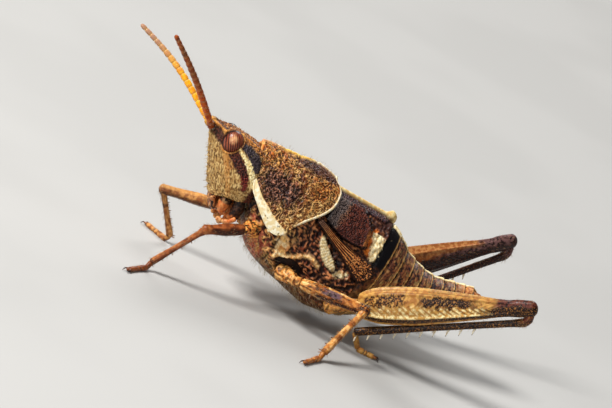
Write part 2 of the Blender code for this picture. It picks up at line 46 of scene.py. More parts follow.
# The photograph's view: where the camera looks from, its turn about its own axis, and its lens
VIEW_TARGET = BODY_PLACE
VIEW_AZIMUTH = 76.0
VIEW_ELEVATION = 16.0
VIEW_TURN = 25.93
VIEW_DISTANCE = 330.0
LENS = 223.12
SENSOR = 36.0


# ---------------- small functions of numbers


def smooth_table(pairs):
    """A smooth function through (position, value) pairs, with no overshoot between them."""
    places, values = np.array(pairs, float).T
    gaps = np.diff(places)
    rises = np.diff(values) / gaps
    slopes = np.zeros(len(places))
    slopes[0], slopes[-1] = rises[0], rises[-1]
    for i in range(1, len(places) - 1):
        if rises[i - 1] * rises[i] > 0:
            slopes[i] = 2 * rises[i - 1] * rises[i] / (rises[i - 1] + rises[i])

    def value(position):
        position = np.clip(position, places[0], places[-1])
        i = np.clip(np.searchsorted(places, position, side="right") - 1, 0, len(gaps) - 1)
        t = (position - places[i]) / gaps[i]
        along = values[i] * (1 + 2 * t) * (1 - t) ** 2 + values[i + 1] * t * t * (3 - 2 * t)
        return along + gaps[i] * t * (1 - t) * (slopes[i] * (1 - t) - slopes[i + 1] * t)

    return value


def smooth(low, high, value):
    """0 at low, 1 at high, and smooth between; low may be the larger."""
    t = np.clip((value - low) / (high - low), 0, 1)
    return t * t * (3 - 2 * t)


def within(value, low, rise, fall, high):
    """0 below low and above high, 1 from rise to fall, and smooth between."""
    return smooth(low, rise, value) * smooth(high, fall, value)


def hump(value, centre, width):
    return np.exp(-(((value - centre) / width) ** 2))


def unit(vectors):
    return vectors / np.maximum(np.linalg.norm(vectors, axis=-1, keepdims=True), 1e-12)


def blend(a, b, share):
    return a + (b - a) * share


def grid(rows, columns):
    return np.meshgrid(rows, columns, indexing="ij")


def steps(count):
    """Shares from 0 to 1 at even steps."""
    return np.linspace(0, 1, count)


def around(count, start=-180):
    """Angles in degrees all the way round from a start."""
    return np.linspace(start, start + 360, count, endpoint=False)


def line_place(u, v, line):
    """Distance to a bent line in a plane, and how far along the line the nearest point is."""
    best = np.full(np.shape(u), np.inf)
    along = np.zeros(np.shape(u))
    run = 0.0
    for (u0, v0), (u1, v1) in zip(line[:-1], line[1:]):
        length = math.hypot(u1 - u0, v1 - v0)
        t = np.clip(((u - u0) * (u1 - u0) + (v - v0) * (v1 - v0)) / length**2, 0, 1)
        distance = np.hypot(u - u0 - t * (u1 - u0), v - v0 - t * (v1 - v0))
        along = np.where(distance < best, run + t * length, along)
        best = np.minimum(best, distance)
        run += length
    return best, along


def swathe(u, v, line, widths, soft=0.1, waver=0.0):
    """1 within a bent band whose half widths are given at its corners, fading to 0 outside."""
    distance, along = line_place(u, v, line)
    runs = np.cumsum([0] + [math.dist(a, b) for a, b in zip(line[:-1], line[1:])])
    return smooth(soft, -soft, distance + waver - np.interp(along, runs, widths))


class Noise:
    """Smooth noise over points in space, about -1 to 1, the same on every run."""

    CORNERS = [(i, j, k) for i in (0, 1) for j in (0, 1) for k in (0, 1)]

    def __init__(self, seed):
        rng = np.random.default_rng(seed)
        self.order = np.tile(rng.permutation(256), 3)
        self.slopes = unit(rng.normal(size=(256, 3)))

    def __call__(self, points, size):
        places = points / size
        cell = np.floor(places).astype(int)
        inside = places - cell
        cell &= 255
        weight = inside**3 * (inside * (inside * 6 - 15) + 10)
        total = np.zeros(points.shape[:-1])
        for corner in self.CORNERS:
            a = self.order[cell[..., 0] + corner[0]]
            b = self.order[a + cell[..., 1] + corner[1]]
            slope = self.slopes[self.order[b + cell[..., 2] + corner[2]]]
            share = np.ones(points.shape[:-1])
            for axis in range(3):
                w = weight[..., axis]
                share = share * (w if corner[axis] else 1 - w)
            total += share * ((inside - np.array(corner)) * slope).sum(-1)
        return total * 1.7


NOISE = Noise(7)
OTHER_NOISE = Noise(19)


def winding(points, size, bend):
    """Noise over places that other noise has shifted, so that it winds."""
    drift = np.stack([OTHER_NOISE(points + 9 * k, 2 * size) for k in range(3)], -1)
    return NOISE(points + bend * size * drift, size)


def worms(points, size, sharp=0.22, bend=0.35):
    """A maze of winding ridges about two sizes apart: 0 in the grooves and 1 on the ridges."""
    return smooth(-sharp, sharp, winding(points, size, bend))


def squiggles(points, size, width=0.3, bend=0.35):
    """Thin winding ridges with wider hollows between them, from 0 to 1."""
    return hump(winding(points, size, bend), 0, width)


# ---------------- the body's forms, as in the solids


class Profile:
    """A lengthwise body form: its top, bottom, half width and widest height along Y."""

    def __init__(self, top, bottom, half, middle, roof, belly=2.2):
        self.top, self.bottom = smooth_table(top), smooth_table(bottom)
        self.half, self.middle = smooth_table(half), smooth_table(middle)
        self.roof, self.belly = roof, belly

    def section(self, y, upper, grow):
        """At Y, the middle's height, the half width, and the reach and power of the upper or lower part."""
        middle = self.middle(y)
        reach = np.where(upper, self.top(y) + grow - middle, middle - self.bottom(y) + grow)
        return middle, self.half(y) + grow, reach, np.where(upper, 2 / self.roof, 2 / self.belly)

    def points(self, y, angle):
        """Surface points at angles from the back, 0, over the left side, 90, to the belly."""
        a = np.radians(np.abs(angle))
        middle, half, reach, power = self.section(y, a <= math.pi / 2, 0.0)
        x = half * np.abs(np.sin(a)) ** power
        z = middle + np.copysign(reach * np.abs(np.cos(a)) ** power, np.cos(a))
        return np.stack((np.copysign(x, angle), y + 0 * x, z), -1)

    def side(self, y, z, grow):
        """Points of the left side at this Y and Z, as far out as grow."""
        middle, half, reach, power = self.section(y, z >= self.middle(y), grow)
        share = np.clip(np.abs(z - middle) / reach, 0, 1) ** (1 / power)
        return np.stack((half * np.sqrt(1 - share * share) ** power, y, z), -1)


TRUNK = Profile(
    top=((-6.4, 1.7), (-4, 2.45), (-1, 2.75), (2, 2.4), (7.2, 2.45), (8.95, 1.75),
         (10.45, 0.76), (13.2, 0.13), (15.8, 0.65), (17.2, 0.95), (18, 0.5)),
    bottom=((-5.2, -2.4), (-4, -4.4), (-2.6, -5.85), (0.3, -6.9), (2.4, -7.35), (4.5, -7.7), (7.4, -7.15),
            (9, -6.2), (12, -4.4), (15, -2.7), (17.2, -1.3), (18, -0.5)),
    half=((-6.4, 1.7), (-4, 2.4), (-1.5, 2.85), (2, 2.95), (6, 3.1), (7.4, 3.0),
          (9, 2.7), (12, 2.2), (15, 1.75), (17, 1.2), (18, 0.6)),
    middle=((-6.4, 0), (-3, -2.2), (0, -3.6), (5, -4.0), (7.4, -3.2), (9, -2.4),
            (12, -1.7), (15, -0.8), (18, 0.1)),
    roof=1.8,
)
PRONOTUM = Profile(
    top=((-6.6, 2.8), (-5.5, 3.1), (-4.2, 3.2), (-2.7, 3.35), (-1, 3.6), (0.4, 3.4), (2, 2.95)),
    bottom=((-6.6, -3), (-3, -6), (2, -8)),
    half=((-6.6, 2.35), (-5, 2.85), (-3, 3.3), (-1, 3.55), (2, 3.6)),
    middle=((-6.6, -1.4), (-4, -2.4), (-1, -3.0), (2, -3.4)),
    roof=1.75,
)
# The shield's front and rear margins: Y at degrees from the middle of the back
PRONOTUM_FRONT = smooth_table((
    (0, -6.2), (28, -6.22), (45, -6.2), (58, -6.05), (67, -5.74), (75.5, -5.36),
    (80.5, -4.78), (84, -4.25), (89, -3.62), (93, -3.08), (95, -2.72), (96, -2.52),
))
PRONOTUM_REAR = smooth_table((
    (0, 1.0), (7, 1.2), (14, 1.62), (24, 1.86), (34, 1.82), (41, 1.66), (49, 1.3),
    (57, 0.76), (68.5, -0.22), (80, -1.0), (88, -1.34), (92.5, -1.68), (95, -2.06), (96, -2.46),
))
PRONOTUM_REACH = 96
SHELL = 0.45
PAD = 0.5
GAP = 0.08

COLLAR_Y, COLLAR_Z, COLLAR_LEAN = -6.45, 2.5, 0.27
PROTHORAX_END = -1.1
METATHORAX_END = 7.3
ABDOMEN_ENDS = (8.55, 9.8, 11.0, 12.15, 13.25, 14.3, 15.3, 16.2, 17.0)
ABDOMEN_LEAN = 0.12
ABDOMEN_TIP = 18.0

FACE_TOP, FACE_BOTTOM = (-11.33, 2.45), (-8.15, -3.2)
OCCIPUT_TOP, OCCIPUT_BOTTOM = (-5.7, 2.45), (-4.4, -2.0)
HEAD_CROWN = 0.33
HEAD_HALF = smooth_table((
    (0, 0.34), (0.05, 1.12), (0.12, 1.68), (0.25, 2.12), (0.5, 2.42), (0.75, 2.5), (0.9, 2.25), (1, 1.9),
))

ANTENNA_BASE = (0.46, -10.95, 1.76)
ANTENNA_TIPS = {"left": (4.6, -18.8, 7.5), "right": (-4.3, -19.9, 5.85)}
ANTENNA_BOWS = {"left": 0.25, "right": 0.55}

# The faceted eyes reach a little past their solids
FACET_CENTRE = np.array((1.42, -8.88, 1.69))
FACET_RADII = np.array((0.85, 0.89, 1.04))


def head_points(level, angle):
    """Points of the head: level 0 is the vertex and 1 the mouth; angle 0 is the face."""
    a = np.radians(angle)
    along = (1 - np.cos(a)) / 2
    blunt = blend(0.95, 0.62, np.minimum(level / 0.4, 1))
    power = blend(blunt, 0.45, along)
    half = HEAD_HALF(level) * (1 + 0.5 * (along - 0.5))
    face_y, face_z = (blend(FACE_TOP[i], FACE_BOTTOM[i], level) for i in (0, 1))
    back_y, back_z = (blend(OCCIPUT_TOP[i], OCCIPUT_BOTTOM[i], level) for i in (0, 1))
    crown = HEAD_CROWN * np.sin(math.pi * along) * np.clip(1 - level / 0.3, 0, None)
    x = np.copysign(half * np.abs(np.sin(a)) ** power, np.sin(a))
    return np.stack((x, blend(face_y, back_y, along), blend(face_z, back_z, along) + crown), -1)


def body_turn():
    """The turn from the body's frame to the world's: the roll, then the pitch."""
    pitch, roll = -BODY_PITCH, -BODY_ROLL
    c, s = math.cos(pitch), math.sin(pitch)
    about_x = np.array(((1, 0, 0), (0, c, -s), (0, s, c)))
    c, s = math.cos(roll), math.sin(roll)
    return about_x @ np.array(((c, 0, s), (0, 1, 0), (-s, 0, c)))


BODY_TURN = body_turn()


def to_world(points):
    """From the body's frame to the world's, both in millimetres."""
    return np.asarray(points, float) @ BODY_TURN.T + BODY_PLACE


# ---------------- grids, skins and their unwraps


def grid_normals(points, wrap, inside=None):
    """Unit normals of a grid, turned away from inside, or from the middle of each row."""
    down = np.gradient(points, axis=0)
    if wrap:
        across = (np.roll(points, -1, 1) - np.roll(points, 1, 1)) / 2
    else:
        across = np.gradient(points, axis=1)
    normals = unit(np.cross(down, across))
    centre = points.mean(axis=1, keepdims=True) if inside is None else np.asarray(inside, float)
    if ((points - centre) * normals).sum() < 0:
        normals = -normals
    return normals


def raised(points, height, wrap=False, inside=None):
    """A grid's points moved out along its normals."""
    return points + grid_normals(points, wrap, inside) * height[..., None]


def half_places(points):
    """Distance from the middle plane, Y and Z."""
    return np.abs(points[..., 0]), points[..., 1], points[..., 2]


def edge_loop(values):
    """What a grid holds round its edge, in order."""
    return np.concatenate((values[0], values[1:, -1], values[-1, -2::-1], values[-2:0:-1, 0]))


def edge_out(points):
    """For each point round the edge of a grid, the direction that leads off the grid."""
    out = np.zeros_like(points)
    out[0] += unit(points[0] - points[2])
    out[-1] += unit(points[-1] - points[-3])
    out[:, 0] += unit(points[:, 0] - points[:, 2])
    out[:, -1] += unit(points[:, -1] - points[:, -3])
    return unit(edge_loop(out))


class Part:
    """One grid of a skin: world points in millimetres, masks, and its patch of the unwrap."""

    SMALLEST = 0.05

    def __init__(self, points, masks, wrap, hubs, inside):
        self.points, self.masks, self.wrap, self.hubs = points, masks, wrap, hubs
        self.normals = grid_normals(points, wrap, inside)
        lengths = [np.linalg.norm(np.diff(points, axis=axis), axis=-1).sum(axis).mean() for axis in (1, 0)]
        self.size = [max(length, self.SMALLEST) for length in lengths]
        self.corner, self.scale = (0.0, 0.0), 1.0

    def unwrap(self, row, column):
        """Where a place on the grid lies on the unwrap."""
        rows, columns = self.points.shape[:2]
        last = columns if self.wrap else columns - 1
        u = self.corner[0] + self.size[0] * self.scale * column / last
        v = self.corner[1] + self.size[1] * self.scale * (row + 1) / (rows + 1)
        return np.stack((u + 0 * v, v + 0 * u), -1)


class Skin:
    """A mesh piece gathered from grids, which stands for some of the solids."""

    # The unwrap's space between patches, the share of it that they fill at first, how their scale
    # goes down until they fit, and the widest that one may be
    MARGIN = 0.006
    FILLED = 0.95
    SHRINK = 0.97
    WIDEST = 0.98
    RIM_STEPS = 5
    RIM_BULGE = 0.35
    WELD = 1e-7

    def __init__(self, name, slot, replaced):
        self.name, self.slot, self.replaced = name, slot, replaced
        self.parts = []

    def add(self, points, masks, wrap=True, hubs=None, inside=None):
        """Adds a grid. A grid that goes all the way round is closed at both ends, or as hubs says."""
        self.parts.append(Part(points, masks, wrap, hubs or (wrap, wrap), inside))

    def add_plate(self, outer, inner, masks, inside=None):
        """A plate with a rounded rim between two matching grids."""
        self.add(outer, masks, wrap=False, inside=inside)
        self.add(inner, {}, wrap=False, inside=inside)
        top, bottom = edge_loop(outer), edge_loop(inner)
        middle, arm = (top + bottom) / 2, (top - bottom) / 2
        out = edge_out(outer) * np.linalg.norm(top - bottom, axis=-1, keepdims=True) * self.RIM_BULGE
        turns = np.linspace(0, math.pi, self.RIM_STEPS + 1)
        rim = np.stack([middle + arm * math.cos(a) + out * math.sin(a) for a in turns])
        rim_masks = {key: np.tile(edge_loop(value), (len(turns), 1)) for key, value in masks.items()}
        self.add(rim, rim_masks, hubs=(False, False))

    def lay_out(self):
        """Places every part's patch on shelves in the unit square, all at one scale."""
        order = sorted(self.parts, key=lambda part: -part.size[1])
        scale = self.FILLED / math.sqrt(sum(part.size[0] * part.size[1] for part in order))
        while True:
            u = v = self.MARGIN
            shelf = order[0].size[1] * scale
            for part in order:
                width, height = (size * scale for size in part.size)
                if u + width > 1 - self.MARGIN:
                    u, v = self.MARGIN, v + shelf + self.MARGIN
                    shelf = height
                part.corner, part.scale = (u, v), scale
                u += width + self.MARGIN
            widest = max(part.size[0] for part in order) * scale
            if v + shelf <= 1 - self.MARGIN and widest < self.WIDEST:
                return
            scale *= self.SHRINK

    def build(self, material):
        """The skin's object. Each open end of a grid is closed by a fan round a hub."""
        self.lay_out()
        names = sorted({key for part in self.parts for key in part.masks})
        points, values, faces, sizes, patches = [], [], [], [], []
        count = 0

        def lay(part, corners, places):
            faces.append(np.stack(corners, -1).ravel())
            sizes.append(np.full(corners[0].size, len(corners)))
            patches.append(np.stack([part.unwrap(*place) for place in places], 1).reshape(-1, 2))

        for part in self.parts:
            rows, columns = part.points.shape[:2]
            masks = [np.broadcast_to(part.masks.get(key, 0.0), (rows, columns)) for key in names]
            masks = np.stack(masks, -1)
            index = np.arange(rows * columns).reshape(rows, columns) + count
            r, c = (a.ravel() for a in np.indices((rows - 1, columns if part.wrap else columns - 1)))
            d = (c + 1) % columns
            lay(part, (index[r, c], index[r, d], index[r + 1, d], index[r + 1, c]),
                ((r, c), (r, c + 1), (r + 1, c + 1), (r + 1, c)))
            points.append(part.points.reshape(-1, 3))
            values.append(masks.reshape(-1, len(names)))
            count += rows * columns
            for wanted, row, beyond in zip(part.hubs, (0, rows - 1), (-1, rows)):
                if wanted:
                    c = np.arange(columns)
                    lay(part, (index[row, c], index[row, (c + 1) % columns], np.full(columns, count)),
                        ((row, c), (row, c + 1), (beyond, c + 0.5)))
                    points.append(part.points[row].mean(axis=0)[None])
                    values.append(masks[row].mean(axis=0)[None])
                    count += 1
        values = np.clip(np.concatenate(values), 0, 1).T
        obj = mesh_object(self.name, *(np.concatenate(a) for a in (points, faces, sizes, patches)),
                          dict(zip(names, values)))
        shape = bmesh.new()
        shape.from_mesh(obj.data)
        bmesh.ops.remove_doubles(shape, verts=shape.verts, dist=self.WELD)
        bmesh.ops.recalc_face_normals(shape, faces=shape.faces)
        shape.to_mesh(obj.data)
        shape.free()
        obj.data.materials.append(material)
        return settle(obj, self.replaced)


def mesh_object(name, points, corners, sizes, unwrap, masks):
    """A mesh object from flat arrays: points in millimetres, corner indices and face sizes."""
    mesh = bpy.data.meshes.new(name)
    mesh.vertices.add(len(points))
    mesh.vertices.foreach_set("co", (points * MM).astype(np.float32).ravel())
    mesh.loops.add(len(corners))
    mesh.loops.foreach_set("vertex_index", corners.astype(np.int32))
    mesh.polygons.add(len(sizes))
    mesh.polygons.foreach_set("loop_start", (np.cumsum(sizes) - sizes).astype(np.int32))
    mesh.update(calc_edges=True)
    mesh.uv_layers.new(name="OFBake").data.foreach_set("uv", unwrap.astype(np.float32).ravel())
    for key, value in masks.items():
        mesh.attributes.new(key, "FLOAT", "POINT").data.foreach_set("value", value.astype(np.float32))
    mesh.shade_smooth()
    return linked(bpy.data.objects.new(name, mesh))


def linked(obj):
    bpy.context.scene.collection.objects.link(obj)
    return obj


def settle(obj, replaced=()):
    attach(obj, "root")
    if replaced:
        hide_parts(*replaced)
    return obj


# ---------------- limbs


DOME_ROWS = 8
ROUTE_STEPS = 80


def along_path(path, shares):
    """Points at shares of the length of a bent path."""
    run = np.concatenate(([0], np.cumsum(np.linalg.norm(np.diff(path, axis=0), axis=1))))
    return np.stack([np.interp(shares * run[-1], run, path[:, i]) for i in range(3)], -1)


def size_along(size):
    """A size by the share of a limb's length, from a number, a table or a function."""
    if callable(size):
        return size
    return smooth_table(size) if isinstance(size, tuple) else lambda share: size + 0 * share


def limb(path, half, rows, columns, height=None, up=(0, 0, 1), domes=(0.0, 0.0), relief=None, floor=None):
    """A limb's grid along a path, with the share along it and the angle round it at each point.

    half and height give its size across and along up, the same if there is no height. A dome is
    the length of a rounded end. relief(share, angle, points) adds to the radius.
    """
    path = np.asarray(path, float)
    length = np.linalg.norm(np.diff(path, axis=0), axis=1).sum()
    share = steps(rows)
    for last, dome in enumerate(domes):
        if dome:
            near = (1 - np.cos(math.pi / 2 * steps(DOME_ROWS + 1)[1:])) * dome / length
            share = np.concatenate((share, 1 - near if last else near))
    share = np.unique(np.round(np.clip(share, 0, 1), 6))
    centre = along_path(path, share)
    # the way ahead turns over a step of the route at each corner
    route = along_path(path, np.clip(np.linspace(-0.02, 1.02, ROUTE_STEPS), 0, 1))
    ways = [np.interp(share, steps(ROUTE_STEPS), np.gradient(route[:, i])) for i in range(3)]
    ahead = unit(np.stack(ways, -1))
    across = unit(np.cross(ahead, np.asarray(up, float)))[:, None]
    upward = unit(np.cross(across, ahead[:, None]))
    scale = np.ones(len(share))
    for dome, inward in zip(domes, (share, 1 - share)):
        if dome:
            scale *= np.sqrt(np.clip(1 - np.clip(1 - inward * length / dome, 0, 1) ** 2, 0, 1))
    wide = size_along(half)(share)[:, None]
    tall = size_along(half if height is None else height)(share)[:, None]
    share, angle = grid(share, around(columns))
    a = np.radians(angle)

    def surface(extra):
        x = (wide + extra) * scale[:, None] * np.cos(a)
        y = (tall + extra) * scale[:, None] * np.sin(a)
        return centre[:, None] + across * x[..., None] + upward * y[..., None]

    points = surface(0.0)
    if relief is not None:
        points = surface(relief(share, angle, points))
    if floor is not None:
        points[..., 2] = np.maximum(points[..., 2], floor)
    return points, share, angle


# ---------------- materials


def tint(red, green, blue):
    """A linear colour from its everyday 0 to 255 values."""
    parts = [c / 255 for c in (red, green, blue)]
    return (*(c / 12.92 if c <= 0.04045 else ((c + 0.055) / 1.055) ** 2.4 for c in parts), 1.0)


class Look:
    """A procedural material, made one layer of colour at a time.

    A colour is written as its red, green and blue from 0 to 255, or as what mixes it and its two
    colours. What mixes is a mask's name, or the size of a soft noise, or its size, low and high.
    """

    SPECULAR = 0.18
    COAT_SHARE = 0.35
    GRAIN_DEPTH = 0.02

    def __init__(self, name, colour, roughness=0.5, coat=0.0, coat_roughness=0.2):
        self.material = bpy.data.materials.new(name)
        self.material.use_nodes = True
        self.nodes, self.links = self.material.node_tree.nodes, self.material.node_tree.links
        self.shader = self.nodes["Principled BSDF"]
        self.shader.inputs["Roughness"].default_value = roughness
        self.shader.inputs["Specular IOR Level"].default_value = self.SPECULAR
        self.shader.inputs["Coat Weight"].default_value = coat * self.COAT_SHARE
        self.shader.inputs["Coat Roughness"].default_value = coat_roughness
        self.place = self.nodes.new("ShaderNodeTexCoord").outputs["Object"]
        self.colour = self.mixture(colour)

    def texture(self, kind, size, result):
        """A texture of things about this many millimetres across."""
        node = self.nodes.new(kind)
        node.inputs["Scale"].default_value = 1 / (size * MM)
        self.links.new(self.place, node.inputs["Vector"])
        return node.outputs[result]

    def noise(self, size, low=0.4, high=0.6, detail=2.0):
        """Soft patches, as a factor from 0 to 1."""
        value = self.texture("ShaderNodeTexNoise", size, "Fac")
        value.node.inputs["Detail"].default_value = detail
        return self.spread(value, low, high)

    def spread(self, value, low, high, to_low=0.0, to_high=1.0):
        node = self.nodes.new("ShaderNodeMapRange")
        node.interpolation_type = "SMOOTHSTEP"
        for key, number in (("From Min", low), ("From Max", high), ("To Min", to_low), ("To Max", to_high)):
            node.inputs[key].default_value = number
        self.links.new(value, node.inputs["Value"])
        return node.outputs["Result"]

    def factor(self, mixer):
        if not isinstance(mixer, str):
            return self.noise(*mixer) if isinstance(mixer, tuple) else self.noise(mixer)
        node = self.nodes.new("ShaderNodeAttribute")
        node.attribute_name = mixer
        return node.outputs["Fac"]

    def mixture(self, colour):
        if not isinstance(colour[1], tuple):
            return tint(*colour)
        return self.mixed(self.factor(colour[0]), *(self.mixture(part) for part in colour[1:]))

    def mixed(self, factor, under, over):
        node = self.nodes.new("ShaderNodeMix")
        node.data_type = "RGBA"
        self.links.new(factor, node.inputs["Factor"])
        for socket, value in zip((node.inputs[6], node.inputs[7]), (under, over)):
            if isinstance(value, tuple):
                socket.default_value = value
            else:
                self.links.new(value, socket)
        return node.outputs[2]

    def paint(self, *layers):
        """Lays colours over each other, each where its mask or noise is."""
        for mixer, colour in layers:
            self.colour = self.mixed(self.factor(mixer), self.colour, self.mixture(colour))
        return self

    def gloss(self, mask, low, high):
        """Roughness from low where the mask is 0 to high where it is 1."""
        self.links.new(self.spread(self.factor(mask), 0, 1, low, high), self.shader.inputs["Roughness"])
        return self

    def bumped(self, height, strength, depth, invert=False):
        """The finished material, with a height in millimetres as bump."""
        self.links.new(self.colour, self.shader.inputs["Base Color"])
        node = self.nodes.new("ShaderNodeBump")
        node.invert = invert
        node.inputs["Strength"].default_value = strength
        node.inputs["Distance"].default_value = depth * MM
        self.links.new(height, node.inputs["Height"])
        self.links.new(node.outputs["Normal"], self.shader.inputs["Normal"])
        return self.material

    def finish(self, grain=0.06, strength=0.25):
        """The finished material, with a fine grain as bump."""
        return self.bumped(self.noise(grain, 0.2, 0.8, 3.0), strength, self.GRAIN_DEPTH)


def head_look():
    return Look("head_cuticle", (206, 172, 112), 0.55, coat=0.08).paint(
        (0.5, (180, 142, 84)),
        ("streak", (0.3, (96, 64, 30), (140, 100, 52))),
        ("orange", (0.3, (124, 68, 26), (188, 122, 54))),
        ("dark", ("relief", (34, 14, 9), (88, 40, 26))),
        ("soot", ("relief", (36, 28, 32), (72, 60, 62))),
        ("rust", ("relief", (40, 10, 8), (116, 40, 28))),
        ("cream", (0.25, (255, 240, 186), (232, 204, 136))),
        ("pits", (62, 34, 16)),
        ("ridge", (0.3, (216, 152, 72), (184, 112, 46))),
        # painted shade in the antennal socket and round the edge of the eye
        ("hollow", (0.15, (20, 9, 7), (92, 44, 34))),
    ).finish()


def pronotum_look():
    # The ridges' colours are light and the grooves' nearly black: partly the shield's own colours, partly
    # painted highlight on the ridges and painted shade in the grooves.
    ridge = (0.5, (160, 88, 38), (248, 190, 112))
    ridge = ("orange", ridge, (0.4, (206, 112, 38), (250, 182, 98)))
    ridge = ("tan", ridge, (0.4, (226, 160, 82), (255, 218, 144)))
    ridge = ("dark", ridge, (0.4, (66, 30, 24), (184, 124, 96)))
    ridge = ("purple", ridge, (0.3, (92, 60, 62), (64, 42, 48)))
    groove = ("tan", (0.8, (24, 8, 4), (58, 21, 8)), (98, 50, 18))
    groove = ("dark", groove, (11, 3, 3))
    return Look("pronotum_cuticle", ("relief", groove, ridge), 0.4, coat=0.2).paint(
        ("cream", (0.35, (250, 240, 210), (236, 212, 160))),
        ("pores", (120, 92, 52)),
        ("yellow", (0.3, (236, 172, 40), (250, 214, 110))),
    ).finish()


def trunk_look():
    return Look("trunk_cuticle", (48, 24, 20), 0.5, coat=0.1).paint(
        (0.7, (64, 34, 26)),
        # plate: the wrinkles' grooves nearly black as painted shade, their ridges light, partly their own
        # colour and partly painted highlight
        ("plate", ("relief", (30, 9, 6), ((0.6, 0.35, 0.65), (122, 56, 30), (216, 140, 88)))),
        ("grey", ("relief", (30, 16, 12), (126, 92, 70))),
        ("abdomen", ((0.24, 0.38, 0.62), (26, 14, 18), (104, 58, 36))),
        ("belly", (0.6, (92, 58, 32), (150, 112, 66))),
        ("flesh", (0.3, (132, 56, 38), (196, 106, 76))),
        ("tail", (0.3, (150, 82, 36), (194, 128, 66))),
        ("black", (9, 6, 8)),
        ("tan", (0.3, (255, 204, 124), (216, 146, 74))),
        ("orange", (0.25, (226, 128, 44), (190, 90, 28))),
        ("cream", (0.25, (255, 238, 192), (228, 196, 134))),
        # painted shade in the hip socket, the seams, under the head and between the rings
        ("hollow", (12, 5, 4)),
    ).gloss("black", 0.5, 0.2).finish()


def pad_look():
    return Look("pad_cuticle", (22, 8, 5), 0.5, coat=0.1).paint(
        (0.4, (42, 18, 12)),
        ("relief", (0.3, (164, 92, 42), (212, 140, 76))),
        ("red", ("relief", (26, 8, 5), (0.3, (70, 26, 17), (112, 54, 38)))),
        ("grey", ("relief", (26, 18, 18), (98, 82, 76))),
        ("tan", (0.3, (190, 118, 56), (150, 84, 38))),
    ).finish()


def ridge_look():
    return Look("back_ridge", (26, 15, 20), 0.4, coat=0.2).paint(
        ("relief", (0.3, (66, 40, 48), (88, 50, 40))),
        ("pale", (0.3, (240, 214, 150), (214, 174, 104))),
    ).finish()


def leg_look(name, main, second, band, dark, pale):
    return Look(name, main, 0.38, coat=0.3).paint(
        (0.4, second),
        ("band", ((0.3, 0.42, 0.66), band, dark)),
        ("pale", (0.3, pale, main)),
        ("streak", (0.2, dark, second)),
        ("dark", ((0.12, 0.5, 0.72), dark, second)),
        ("gold", (0.25, (240, 170, 82), (186, 98, 40))),
        # painted shade in the creases of the coxa and trochanter
        ("gap", (16, 6, 4)),
    ).finish(0.05, 0.2)


def claw_look():
    return Look("claw_horn", (244, 234, 212), 0.35, coat=0.3).paint(
        (0.2, (224, 206, 172)),
        ("claw", (0.2, (150, 92, 48), (120, 66, 32))),
        ("tip", (36, 18, 12)),
    ).finish(0.05, 0.1)


def eye_look():
    look = Look("eye_facets", (156, 78, 46), 0.34, coat=0.8, coat_roughness=0.25).paint(
        (0.4, (128, 58, 38)),
        # a painted highlight: a pale patch high on the eye
        ("glow", (0.3, (224, 168, 118), (190, 118, 80))),
        ("stripes", (44, 12, 10)),
        ("rim", (34, 12, 10)),
    )
    facets = look.texture("ShaderNodeTexVoronoi", 0.035, "Distance")
    return look.bumped(facets, 0.12, 0.01, invert=True)


def antenna_look(name, main, second, ring, tip):
    return Look("antenna_" + name, main, 0.4, coat=0.25).paint(
        (0.4, second),
        ("tip", tip),
        ("ring", ring),
        # painted shade in the joints and at the root
        ("hollow", (60, 24, 10)),
    ).finish(0.05, 0.2)


def mouth_look():
    return Look("mouth_cuticle", (224, 136, 70), 0.45, coat=0.1).paint(
        (0.3, (196, 100, 46)),
        ("dark", (0.2, (22, 12, 10), (66, 40, 26))),
        ("tan", (0.25, (206, 156, 100), (150, 92, 52))),
    ).finish()


def hair_look(name, colour, second):
    return Look(name, colour, 0.45).paint((1.5, second)).finish(0.05, 0.0)


# ---------------- bristles


HAIR_SIDES = 3
HAIR_FOOT = 0.0014
# A hair's points are two rings of three and a tip, numbered in that order
HAIR_FACES = ((0, 1, 4), (0, 4, 3), (1, 2, 5), (1, 5, 4), (2, 0, 3), (2, 3, 5), (3, 4, 6), (4, 5, 6),
              (5, 3, 6))


